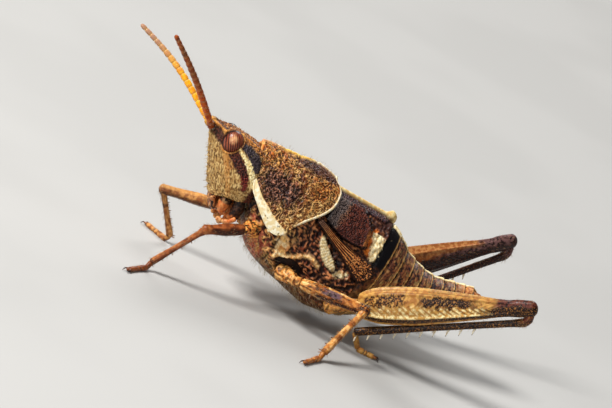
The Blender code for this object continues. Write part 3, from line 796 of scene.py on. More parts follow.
def bristles(name, skin, material, fields, seed):
    """Joined tapering hairs over a skin's grids.

    Each field is (part, count, length, radius, stand, lie, density): hairs stand off the grid by
    stand and lean along its rows by lie, thickest where density, an array over the grid, is high.
    """
    rng = np.random.default_rng(seed)
    turns = [2 * math.pi * k / HAIR_SIDES for k in range(HAIR_SIDES)]
    spot = np.array([(math.cos(a), math.sin(a)) for a in turns]) * HAIR_FOOT
    spots = np.concatenate((spot, spot * 0.6, ((0, 0),)))
    points, unwrap, faces, count = [], [], [], 0
    for index, number, length, radius, stand, lie, density in fields:
        part = skin.parts[index]
        rows, columns = part.points.shape[:2]
        right = columns if part.wrap else columns - 1
        rim = np.linalg.norm(np.roll(part.points, -1, 1) - part.points, axis=-1)
        down = np.linalg.norm(np.gradient(part.points, axis=0), axis=-1)
        weight = (rim * down * (1.0 if density is None else density))[: rows - 1, :right].ravel()
        r, c = np.divmod(rng.choice(len(weight), number, p=weight / weight.sum()), right)
        root, normal = part.points[r, c], part.normals[r, c]
        along = unit(part.points[np.minimum(r + 1, rows - 1), c] - part.points[np.maximum(r - 1, 0), c])
        wander = rng.normal(size=(number, 3)) * 0.22
        way = unit(normal * stand + along * lie + wander)
        bend = unit(way + along * np.sign(lie) * 0.45 - normal * 0.15)
        size = (length * rng.uniform(0.6, 1.25, number))[:, None]
        thick = (radius * rng.uniform(0.8, 1.2, number))[:, None]
        side = unit(np.cross(way, normal + 0.3 * along + 0.01))
        other = np.cross(way, side)
        middle = root + way * size * 0.55
        ring = []
        for centre, share in ((root - normal * thick, 1.0), (middle, 0.65)):
            ring += [centre + (side * math.cos(a) + other * math.sin(a)) * thick * share for a in turns]
        points.append(np.stack(ring + [middle + bend * size * 0.45], 1).reshape(-1, 3))
        places = part.unwrap(r + 0.5, c + 0.5)[:, None] + spots
        start = count + len(spots) * np.arange(number)[:, None]
        for corners in HAIR_FACES:
            faces.append(start + np.array(corners))
            unwrap.append(places[:, list(corners)])
        count += len(spots) * number
    corners = np.concatenate(faces)
    obj = mesh_object(name, np.concatenate(points), corners.ravel(), np.full(len(corners), 3),
                      np.concatenate(unwrap).reshape(-1, 2), {})
    obj.data.materials.append(material)
    return settle(obj)


# ---------------- head


HEAD_GRID = (160, 330)
HEAD_MIDDLE = (0, -7.6, 0.4)
HEAD_SEAM = [(-9.45, 1.1), (-8.69, 0.1), (-8.08, -0.73), (-7.43, -1.66), (-6.9, -2.45)]
HEAD_KEEL = [(0.1, -11.25), (0.49, -10.71), (0.88, -10.2), (1.16, -9.7), (1.1, -9.0), (1.0, -8.3),
             (1.15, -7.4), (1.3, -6.6)]
HEAD_RIM = [(-7.9, -3.05), (-7.07, -2.52), (-6.19, -2.44), (-5.44, -2.32), (-4.9, -2.0)]
CHEEK_EDGE = [(-9.2, 0.9), (-8.6, 0.45), (-8.1, -0.1)]


def head_net():
    """The head's smooth points, with the level of each, and a flat cap closing the top."""
    level, angle = grid(steps(HEAD_GRID[0]), around(HEAD_GRID[1], 0))
    flat = head_points(level, angle)
    top = flat[0]
    closing = np.sqrt(np.linspace(0, 0.96, 7))[:, None]
    cap = np.stack((top[:, 0] * closing, top[:, 1] + 0 * closing, top[:, 2] + 0.06 * (1 - closing**2)), -1)
    flat = np.concatenate((cap, flat))
    collar = COLLAR_Y + COLLAR_LEAN * (COLLAR_Z - flat[..., 2]) + 0.35
    flat[..., 1] = np.minimum(flat[..., 1], collar)
    return flat, np.concatenate((np.zeros((len(cap), level.shape[1])), level))


def make_head():
    """The head's skin, with its keels, seams, pits and markings, and painted shade in its hollows and along
    the cheek's rear edge.
    """
    flat, level = head_net()
    x, y, z = half_places(flat)
    waver = 0.1 * NOISE(flat, 0.35) + 0.05 * OTHER_NOISE(flat, 0.15)
    side = smooth(0.8, 1.1, x)
    crown = smooth(1.85, 2.15, z)
    from_face = np.abs(y - blend(FACE_TOP[0], FACE_BOTTOM[0], level))

    def patch(line, widths, soft=0.06, loose=1):
        """A marking on the side of the head."""
        return side * swathe(y, z, line, widths, soft, loose * waver)

    # the face: two keels down its middle, a seam down each cheek, and fine upright wrinkles
    facing = smooth(1.1, 0.7, x) * smooth(0.9, 0.4, from_face)
    costa = 0.16 + 0.22 * level
    keels = 0.1 * hump(x, costa, 0.08) - 0.05 * hump(x, 0, 0.08)
    keels += 0.05 * smooth(costa + 0.1, costa - 0.05, x)
    height = facing * keels * smooth(0.97, 0.85, level)
    from_seam = line_place(y, z, HEAD_SEAM)[0] + 0.5 * waver
    height += side * (0.07 * hump(from_seam, 0.1, 0.1) - 0.05 * hump(from_seam, -0.06, 0.06))
    down, across = 0.49 * y - 0.87 * z, 0.87 * y + 0.49 * z
    upright = worms(np.stack((flat[..., 0] * 1.2, across * 1.2, down * 0.42), -1), 0.12)
    pits = smooth(0.25, 0.6, NOISE(np.stack((flat[..., 0], across, down * 0.7), -1) + 5, 0.13))
    face = (1 - crown) * smooth(-6.9, -7.6, y - 0.35 * z)
    height += 0.035 * (upright - 0.5) * (1 - crown) - 0.03 * pits * face

    # the antennal hollow, from the fore corner to under the eye, and the raised rim round the eye
    fossa = swathe(y, z, [(-11.05, 1.95), (-10.5, 1.76), (-9.8, 1.38)], (0.3, 0.46, 0.38), 0.08, waver)
    fossa *= smooth(0.22, 0.4, x)
    height -= 0.16 * fossa
    eye = np.linalg.norm((np.stack((x, y, z), -1) - FACET_CENTRE) / FACET_RADII, axis=-1)
    height += 0.1 * hump(eye, 1.12, 0.1)

    # the crown: keels from the fore corner over the eyes, with wrinkles between and behind them
    from_keel = line_place(x, y, HEAD_KEEL)[0]
    height += crown * (0.1 * hump(from_keel, 0, 0.08) + 0.06 * hump(x, 0, 0.07))
    height -= crown * 0.1 * smooth(0.1, 0.45, from_keel) * smooth(0.9, 0.6, x)
    wrinkle = worms(flat, 0.13)
    rough = np.maximum(crown * smooth(-10.8, -10.2, y), smooth(-8.2, -7.6, y) * smooth(1.1, 1.6, z))
    height += 0.06 * rough * (wrinkle - 0.5)

    # the lower edge of the cheek, and the clypeus
    height += side * 0.07 * hump(line_place(y, z, HEAD_RIM)[0], 0.08, 0.1)
    lower, fore = z + 0.12 * x, smooth(-6.7, -7.1, y)
    height += fore * (0.05 * smooth(-2.72, -2.86, lower) - 0.05 * hump(lower, -2.72, 0.07))

    # the markings behind and under the eye, and painted shade along the cheek's rear lower edge
    dark = patch([(-8.52, 1.05), (-7.87, 0.6), (-7.22, 0.16), (-6.62, -0.32)], (0.46, 0.47, 0.44, 0.34))
    cream = patch([(-8.05, 1.42), (-7.3, 1.04), (-6.66, 0.62), (-6.12, 0.08), (-5.6, -0.6)],
                  (0.12, 0.2, 0.22, 0.24, 0.26), 0.05)
    soot = patch([(-8.05, 1.86), (-7.4, 1.8), (-6.62, 1.45), (-5.95, 0.85)], (0.24, 0.36, 0.46, 0.5))
    rust = patch([(-6.5, -0.55), (-6.25, -0.95), (-6.1, -1.4)], (0.36, 0.3, 0.16), 0.16, 2)
    # painted shade: the cheek's rear lower edge darkened as in the shadowed gap before the thorax
    edge = side * smooth(-5.75, -5.35, y + waver) * smooth(-0.55, -0.85, z)
    behind = smooth(-9.3, -8.4, y) * smooth(1.5, 2.0, z + waver)
    cheek = side * smooth(-9.2, -8.6, y) * smooth(0.5, 0.15, line_place(y, z, CHEEK_EDGE)[0])
    height += (0.06 * dark + 0.02 * soot + 0.04 * cream + 0.04 * rust) * (wrinkle - 0.5)
    masks = {
        "dark": (dark * (1 - cream) + edge + 0.85 * smooth(0.5, 0.0, wrinkle) * rough
                 + crown * hump(from_keel, 0.26, 0.12) * smooth(1.2, 0.9, x)),
        "relief": wrinkle,
        "cream": cream * (0.75 + 0.25 * wrinkle),
        "soot": soot * (1 - cream),
        "rust": np.clip(1.4 * rust, 0, 1) * (1 - cream),
        "orange": np.clip(crown * smooth(-11.4, -10.4, y) + behind + 0.7 * cheek, 0, 1) * (1 - soot),
        "streak": 0.95 * (1 - crown) * smooth(0.65, 0.1, upright),
        "pits": 0.8 * pits * face * (1 - dark) * (1 - soot),
        "ridge": (crown * hump(from_keel, 0, 0.075) + 0.45 * side * hump(from_seam, 0.1, 0.1)
                  + 0.6 * hump(eye, 1.09, 0.055)),
        # painted shade: the antennal socket and a ring round the eye, darkened as if in shadow
        "hollow": 0.95 * fossa + 0.9 * smooth(1.06, 1.0, eye),
    }
    points = raised(flat, height, True, HEAD_MIDDLE)
    skin = Skin("head_skin", "head", ["head"])
    skin.add(to_world(points), masks, hubs=(False, True), inside=to_world(HEAD_MIDDLE))
    skin.build(head_look())
    front = smooth(0.75, 0.35, from_face) * smooth(1.2, 0.7, x) * smooth(0.2, 0.35, level)
    hair = hair_look("pale_bristle", (206, 180, 130), (150, 118, 76))
    fields = [(0, 110, 0.42, 0.02, 1.0, 0.1, front), (0, 130, 0.2, 0.009, 1.0, 0.2, 1 - crown),
              (0, 190, 0.22, 0.011, 1.0, -0.3, crown * smooth(-6.6, -7, y))]
    bristles("bristles_head", skin, hair, fields, seed=3)


def make_eyes():
    """Glossy eyes with dark stripes running down them, and a painted highlight high on each, where the
    stripes fade.
    """
    material = eye_look()
    rise, turn = np.radians(grid(np.linspace(-89.5, 89.5, 90), around(120)))
    for side, sign in SIDES.items():
        ball = np.stack((np.sin(rise) * sign, np.cos(rise) * np.cos(turn), np.cos(rise) * np.sin(turn)), -1)
        points = ball * FACET_RADII + FACET_CENTRE * (sign, 1, 1)
        back = 0.85 * ball[..., 1] + 0.53 * ball[..., 2]
        up = -0.5 * ball[..., 1] + 0.87 * ball[..., 2]
        meridian = (back + 0.1) / np.sqrt(np.clip(1 - (0.8 * up) ** 2, 0.2, 1))
        # glow is a painted highlight high on the eye, over which the stripes fade
        glow = smooth(0.75, 0.2, np.hypot((back + 0.05) / 0.75, (up - 0.38) / 0.8))
        stripes = smooth(-0.2, 0.5, np.cos(2 * math.pi * meridian / 0.215)) * smooth(0.95, 0.6, meridian)
        rim = smooth(0.42, 0.25, np.sin(rise))
        masks = {"stripes": stripes * (1 - 0.85 * glow), "glow": glow, "rim": rim}
        skin = Skin(f"eye_{side}_facets", "eye", ["eye_" + side])
        skin.add(to_world(points), masks)
        skin.build(material)


# The joints between a feeler's scape, pedicel and rings, at shares of its length
FEELER_JOINTS = np.array([0.05] + list(0.085 + 0.915 * steps(16)[:-1] ** 0.95))
FEELER_RADIUS = ((0, 0.3), (0.045, 0.32), (0.055, 0.24), (0.12, 0.27), (0.45, 0.27), (1, 0.18))


def make_antennae():
    """Two feelers of ringed segments, the left one tawny and the right one yellow."""
    looks = {
        "left": antenna_look("tawny", (150, 52, 10), (192, 84, 20), (206, 140, 84), (118, 68, 32)),
        "right": antenna_look("yellow", (244, 172, 20), (228, 142, 22), (246, 190, 84), (168, 122, 92)),
    }
    hair = hair_look("feeler_hair", (236, 224, 206), (206, 186, 160))
    t = steps(30)[:, None]
    for side, sign in SIDES.items():
        base = np.array(ANTENNA_BASE) * (sign, 1, 1)
        path = base + (np.array(ANTENNA_TIPS[side]) - base) * t
        path += np.array((0, 0, ANTENNA_BOWS[side])) * np.sin(math.pi * t)
        length = np.linalg.norm(np.diff(path, axis=0), axis=1).sum()

        def from_joint(share, length=length):
            return np.abs(share[..., None] - FEELER_JOINTS).min(-1) * length

        def relief(share, angle, points):
            apart = from_joint(share)
            swell = 0.02 * smooth(0.0, 0.25, apart) - 0.035 * hump(apart, 0, 0.05)
            return swell + 0.008 * NOISE(points, 0.09)

        points, share, _ = limb(to_world(path), FEELER_RADIUS, 260, 40, domes=(0.0, 0.3), relief=relief)
        apart = from_joint(share)
        if side == "left":
            ring, tip = 0.5, smooth(0.3, 0.6, share) * (0.5 + 0.5 * smooth(-0.2, 0.5, NOISE(points, 0.8)))
        else:
            ring, tip = 0.3, smooth(0.4, 0.85, share)
        # painted shade in the constricted joints between segments and at the root in its socket
        hollow = 0.4 * hump(apart, 0, 0.03) + 0.5 * smooth(0.06, 0.03, share)
        masks = {"ring": ring * hump(apart, 0.05, 0.06), "tip": tip, "hollow": hollow}
        skin = Skin(f"antenna_{side}_skin", "antenna", ["antenna_" + side])
        skin.add(points, masks)
        skin.build(looks[side])
        fields = [(0, 320, 0.17, 0.009, 1.0, 0.5, None)]
        bristles("bristles_antenna_" + side, skin, hair, fields, seed=5)


# Each mouthpart's path, half width and half thickness, for the left side where there are two
MOUTHPARTS = {
    "labrum": ([(0, -7.75, -3.0), (0, -7.62, -3.45), (0, -7.25, -4.05), (0, -6.95, -4.4)],
               ((0, 1.25), (0.3, 1.18), (0.8, 0.98), (1, 0.75)), ((0, 0.36), (0.5, 0.34), (1, 0.26))),
    "labium": ([(0, -5.5, -2.3), (0, -5.45, -3.2), (0, -5.5, -4.0), (0, -5.75, -4.5)],
               ((0, 1.0), (0.5, 0.95), (1, 0.5)), ((0, 0.42), (0.5, 0.42), (1, 0.3))),
    "mandible": ([(1.3, -6.65, -2.7), (1.25, -6.65, -3.3), (0.85, -6.5, -3.85), (0.6, -6.4, -4.2)],
                 ((0, 0.6), (0.4, 0.62), (0.8, 0.55), (1, 0.42)), ((0, 0.6), (0.5, 0.48), (1, 0.28))),
    "maxilla": ([(1.5, -5.6, -2.3), (1.6, -5.4, -3.1), (1.5, -5.4, -3.75), (1.2, -5.6, -4.45)],
                ((0, 0.45), (0.5, 0.5), (0.8, 0.42), (1, 0.3)),
                ((0, 0.45), (0.4, 0.55), (0.8, 0.45), (1, 0.32))),
}
MOUTH_UP = unit(np.array((0, 0.95, 0.3)))
PALPS = {
    "maxilla": [(2.0, -5.2, -3.9), (1.95, -5.6, -4.5), (1.6, -6.1, -4.75), (1.3, -6.6, -4.75)],
    "labium": [(0.7, -5.6, -4.0), (0.95, -5.9, -4.75), (0.9, -6.3, -5.1)],
}


def make_mouth():
    """Labrum, mandibles, maxillae, labium and the palps that hang from them."""
    material = mouth_look()
    parts = [(kind, kind, 1) for kind in ("labrum", "labium")]
    for side, sign in SIDES.items():
        parts += [(f"{kind}_{side}", kind, sign) for kind in ("mandible", "maxilla")]
    for name, kind, sign in parts:
        def relief(share, angle, points, kind=kind):
            seam = -0.06 * hump(share, 0.45, 0.03) if kind == "labrum" else 0
            return seam + 0.02 * (worms(points, 0.16) - 0.5)

        path, half, height = MOUTHPARTS[kind]
        points, share, _ = limb(to_world(np.array(path) * (sign, 1, 1)), half, 60, 64, height,
                                up=BODY_TURN @ MOUTH_UP, domes=(0.25, 0.3), relief=relief)
        skin = Skin(name + "_skin", "mouth", [name])
        skin.add(points, mouth_masks(kind, share, NOISE(points, 0.35)))
        if kind in PALPS:
            for hang in (1, -1) if kind == "labium" else (sign,):
                add_palp(skin, np.array(PALPS[kind]) * (hang, 1, 1))
        skin.build(material)


def mouth_masks(kind, share, noise):
    if kind == "labrum":
        return {"dark": smooth(-0.1, 0.25, noise), "tan": smooth(0.15, -0.1, noise)}
    if kind == "labium":
        return {"tan": smooth(-0.2, 0.3, noise)}
    if kind == "mandible":
        dark = smooth(0.36, 0.22, share) + 0.3 * smooth(0.2, 0.4, noise)
        return {"dark": dark, "tan": 0.4 * smooth(0, 0.3, -noise)}
    dark = 0.8 * smooth(0.8, 0.6, share + 0.2 * noise) + 0.4
    return {"dark": dark, "tan": 0.6 * smooth(0.8, 0.95, share)}


def add_palp(skin, path):
    """A short feeler of a few segments, hung from the mouth."""
    joints = steps(len(path))[1:-1]

    def relief(share, angle, points):
        apart = np.abs(share[..., None] - joints).min(-1)
        return 0.03 * smooth(0, 0.1, apart) - 0.04 * hump(apart, 0, 0.03)

    radius = ((0, 0.17), (0.5, 0.19), (0.9, 0.21), (1, 0.18))
    points, share, _ = limb(to_world(path), radius, 60, 24, domes=(0.1, 0.2), relief=relief)
    skin.add(points, {"tan": 0.75 * smooth(0.3, 0.6, share)})


# ---------------- pronotum, back and wing pads


SHIELD_GRID = (230, 380)
RIDGE_GRID = (110, 80)
PAD_GRID = (170, 120)
# The cream band's rear edge: Y at degrees from the middle of the back
BAND_EDGE = smooth_table((
    (55, -6.1), (60, -5.85), (66, -5.38), (71, -4.8), (74.7, -4.1), (77.6, -3.4), (80.6, -2.72),
    (82, -2.25), (83, -1.7), (85.4, -1.0),
))


def saddle(profile, front, rear, reach, size):
    """A grid over the back between two margins, with the angle from the middle of the back."""
    share, angle = grid(steps(size[0]), np.linspace(-reach, reach, size[1]))
    turn = np.abs(angle)
    return profile.points(blend(front(turn), rear(turn), share), angle), turn


def make_pronotum():
    """The wrinkled shield over the front of the back, with its cream margin and yellow keel."""
    flat, turn = saddle(PRONOTUM, PRONOTUM_FRONT, PRONOTUM_REAR, PRONOTUM_REACH, SHIELD_GRID)
    x, y, z = half_places(flat)
    from_front, from_rear = y - PRONOTUM_FRONT(turn), PRONOTUM_REAR(turn) - y
    slack = 0.1 * NOISE(flat, 0.45) + 0.05 * OTHER_NOISE(flat, 0.2)
    from_band = y - BAND_EDGE(turn) + slack
    band = smooth(0.07, -0.07, from_band) * smooth(54, 60, turn)
    hem = smooth(0.13, 0.07, from_rear + 0.3 * slack) * smooth(79, 70, turn)
    lip = smooth(0.12, 0.05, from_front)
    keel = hump(x, 0, 0.17)

    # wrinkles: a maze of small ridges over broader folds, strongest low in front
    rough = (1 - band) * (1 - hem) * (1 - 0.85 * keel) * smooth(0.03, 0.18, from_front)
    relief = np.maximum(squiggles(flat * (1.0, 0.85, 1.15), 0.27, width=0.17),
                        0.45 * squiggles(flat + 4, 0.15, width=0.18))
    folds = worms(flat * (1.0, 1.3, 0.8), 0.3, sharp=0.4)
    centre = smooth(1.15, 0.4, np.hypot((y + 3.6) / 2.6, (z - 0.5) / 1.9))
    height = (0.08 + 0.03 * centre) * (relief - 0.5) + (0.04 + 0.08 * centre) * (folds - 0.5)
    height = rough * (height + 0.05 * NOISE(flat, 0.9))
    for place in (-4.4, -2.9, -1.4):
        groove = hump(y + 0.02 * x, place + 0.25 * np.cos(np.radians(turn)), 0.12)
        height -= 0.06 * groove * smooth(75, 60, turn)
    pores = smooth(0.4, 0.62, NOISE(flat, 0.22)) * band
    height += 0.06 * band + 0.05 * hem + 0.04 * lip + 0.17 * keel - 0.04 * pores

    tan = smooth(-0.3, 0.75, 0.5 * (y + 0.9) - 0.55 * (z + 0.1) + 0.3 * NOISE(flat, 0.8))
    orange = smooth(-1.8, 0.2, y) * smooth(0.3, 1.4, z) * (1 - tan)
    yellow = keel * within(y, -4.5, -4.1, -1.9, -1.2)
    pale_keel = hump(x, 0, 0.13) * (0.35 + 0.65 * smooth(-3.0, -1.5, y))
    masks = {
        # relief picks the ridges' colours, lightened in part as painted highlight, over the grooves'
        # colours, darkened in part as painted shade
        "relief": relief * (0.7 + 0.3 * folds) * rough + (1 - rough) * 0.8,
        "dark": smooth(1.05, 0.4, np.hypot((y + 3.5) / 2.7, (z - 0.5) / 1.8) + 0.25 * NOISE(flat, 1.1)),
        "tan": tan,
        "orange": orange + smooth(1.4, 2.2, z) * smooth(-2.4, -4.4, y),
        "purple": 0.85 * smooth(2.6, 3.05, z) * smooth(-3.4, -2.0, y) * (1 - keel),
        "cream": band + 0.9 * hem + 0.5 * lip * smooth(40, 60, turn) + pale_keel * (1 - yellow),
        "pores": 0.6 * pores,
        "yellow": yellow + 0.35 * hump(from_band, -0.12, 0.12) * band,
    }
    skin = Skin("pronotum_shield", "pronotum", ["pronotum"])
    skin.add_plate(to_world(raised(flat, height)), to_world(raised(flat, 0 * x - SHELL * 0.8)), masks)
    skin.build(pronotum_look())
    fields = [(0, 70, 0.5, 0.012, 1.0, 0.1, keel + 0.008), (0, 150, 0.2, 0.009, 1.0, 0.3, rough)]
    hair = hair_look("dark_bristle", (150, 132, 104), (190, 170, 140))
    bristles("bristles_pronotum", skin, hair, fields, seed=11)


# Each ridge's front and rear ends: Y at the middle of the back and at 16 degrees from it
RIDGES = {"mesonotum": ((0.8, 1.2), (4.92, 4.62)), "metanotum": ((4.9, 4.6), (7.5, 6.8))}


def make_back_ridges():
    """The pale ridges down the middle of the back behind the pronotum, and the knob at their end."""
    material = ridge_look()
    for name, ends in RIDGES.items():
        front, rear = (smooth_table(((0, middle), (16, side))) for middle, side in ends)
        flat, _ = saddle(TRUNK, front, rear, 17, RIDGE_GRID)
        x, y, _ = half_places(flat)
        wrinkle = worms(flat, 0.12)
        knob = hump(x, 0, 0.24) * hump(y, 7.12, 0.36) * (name == "metanotum")
        height = 0.16 + 0.34 * hump(x, 0, 0.15) + 0.4 * knob + 0.05 * (wrinkle - 0.5) * smooth(0.12, 0.3, x)
        masks = {"pale": 1.3 * hump(x, 0, 0.13) + 1.2 * knob, "relief": wrinkle}
        skin = Skin(name + "_ridge", "pronotum", [name])
        skin.add_plate(to_world(raised(flat, height)), to_world(raised(flat, 0 * x - 0.15)), masks)
        skin.build(material)


# Each pad's front and rear edges as Y and Z from its root down, and how far its end is rounded
PADS = {
    "forewing": (((1.1, -0.55), (3.6, -1.68), (6.65, -3.25)),
                 ((1.4, -0.1), (4.1, -0.95), (6.95, -1.35)), (0.75, 0.0)),
    "hindwing": (((1.8, 2.05), (1.7, 1.1), (1.6, 0.15)),
                 ((4.6, 2.15), (5.62, 1.2), (5.7, -0.45)), (0.0, -0.42)),
}
PAD_MIDDLE = (0, 3, -2)


def flap(front, rear, rounding, down, over):
    """Y and Z of a wing pad on the left side, at shares down it and across it."""
    bulge = np.sin(math.pi * over) * down**5
    places = []
    for fore, aft, reach in zip(zip(*front), zip(*rear), rounding):
        fore, aft = (smooth_table(list(zip((0, 0.5, 1), edge)))(down) for edge in (fore, aft))
        places.append(blend(fore, aft, over) + bulge * reach)
    return places


def make_wing_pads():
    """The fore pads with their fan of veins, and the wrinkled hind pads above them."""
    material = pad_look()
    down, over = grid(*(steps(count) for count in PAD_GRID))
    for kind, form in PADS.items():
        y, z = flap(*form, down, over)
        flat, base = TRUNK.side(y, z, GAP + PAD), TRUNK.side(y, z, GAP)
        edge = np.minimum(np.minimum(over, 1 - over) * 8, (1 - down) * 16)
        masks = {}
        if kind == "forewing":
            veins = smooth(0.1, 0.7, np.cos(2 * math.pi * 5 * (over + 0.03 * NOISE(flat, 0.5))))
            net = smooth(0.05, 0.3, NOISE(flat * (1, 0.8, 1.2), 0.11))
            relief = np.clip(veins * smooth(1.0, 0.6, down) + 0.9 * net * smooth(0.5, 0.8, down), 0, 1)
            masks["grey"] = 0.7 * smooth(0.25, 0.0, down)
        else:
            relief = squiggles(flat * (1, 0.9, 1), 0.15, width=0.28)
            masks["grey"] = smooth(2.9, 2.2, y - 0.3 * z + 0.3 * NOISE(flat, 0.5))
            masks["red"] = 1 - masks["grey"]
            masks["tan"] = 0.9 * smooth(0.93, 0.97, over) * smooth(1.6, 0.2, z)
            masks["tan"] *= smooth(-0.3, 0.2, NOISE(flat, 0.5))
        height = 0.08 * relief + 0.06 * smooth(1.0, 0.3, edge) - 0.1 * smooth(0.35, 0.0, edge)
        masks["relief"] = relief * smooth(0.1, 0.6, edge)
        outer = raised(flat, height, inside=PAD_MIDDLE)
        for side, sign in SIDES.items():
            name = f"{kind}_pad_{side}"
            skin = Skin(name + "_skin", "pad", [name])
            outside, inside = (to_world(points * (sign, 1, 1)) for points in (outer, base))
            skin.add_plate(outside, inside, masks, to_world(PAD_MIDDLE))
            skin.build(material)


# ---------------- thorax and abdomen


TRUNK_GRID = (400, 300)
# Lines on the trunk's side, as Y and Z: the cream bar, the band behind it and a leg's socket
CREAM_BAR = [(2.2, -1.5), (2.5, -1.98), (3.15, -2.65), (3.9, -3.15), (4.25, -3.36)]
BEHIND_BAR = [(2.75, -1.35), (3.6, -2.0), (4.3, -2.75), (5.0, -3.6)]
SOCKET_RIM = [(-0.72, -5.0), (-0.72, -4.5), (0.0, -4.55), (0.63, -4.24), (1.2, -3.81), (1.8, -3.48),
              (2.37, -3.53), (3.02, -3.85)]
# Where the abdomen's rings end, and the angle of the fold along its side
RINGS = np.array((METATHORAX_END, *ABDOMEN_ENDS, ABDOMEN_TIP + 0.3))
PLEAT = 126
# From here the skin closes towards the tail's tip
TAIL_CLOSING = 16.7
CERCUS = np.array(((0.38, 17.2, 0.5), (0.7, 18.05, 0.5), (0.8, 18.35, 0.55)))


def trunk_net():
    """The trunk's smooth points from the collar to the tail, which closes to a point, and their angles."""
    y, angle = grid(np.linspace(-6.4, ABDOMEN_TIP, TRUNK_GRID[0]), around(TRUNK_GRID[1]))
    flat = TRUNK.points(y, angle)
    closing = (y - TAIL_CLOSING) / (ABDOMEN_TIP + 0.08 - TAIL_CLOSING)
    closing = np.sqrt(1 - np.clip(closing, 0, 1) ** 3)
    flat[..., 0] *= closing
    flat[..., 2] = blend(TRUNK.middle(y), flat[..., 2], closing)
    return flat, np.abs(angle)


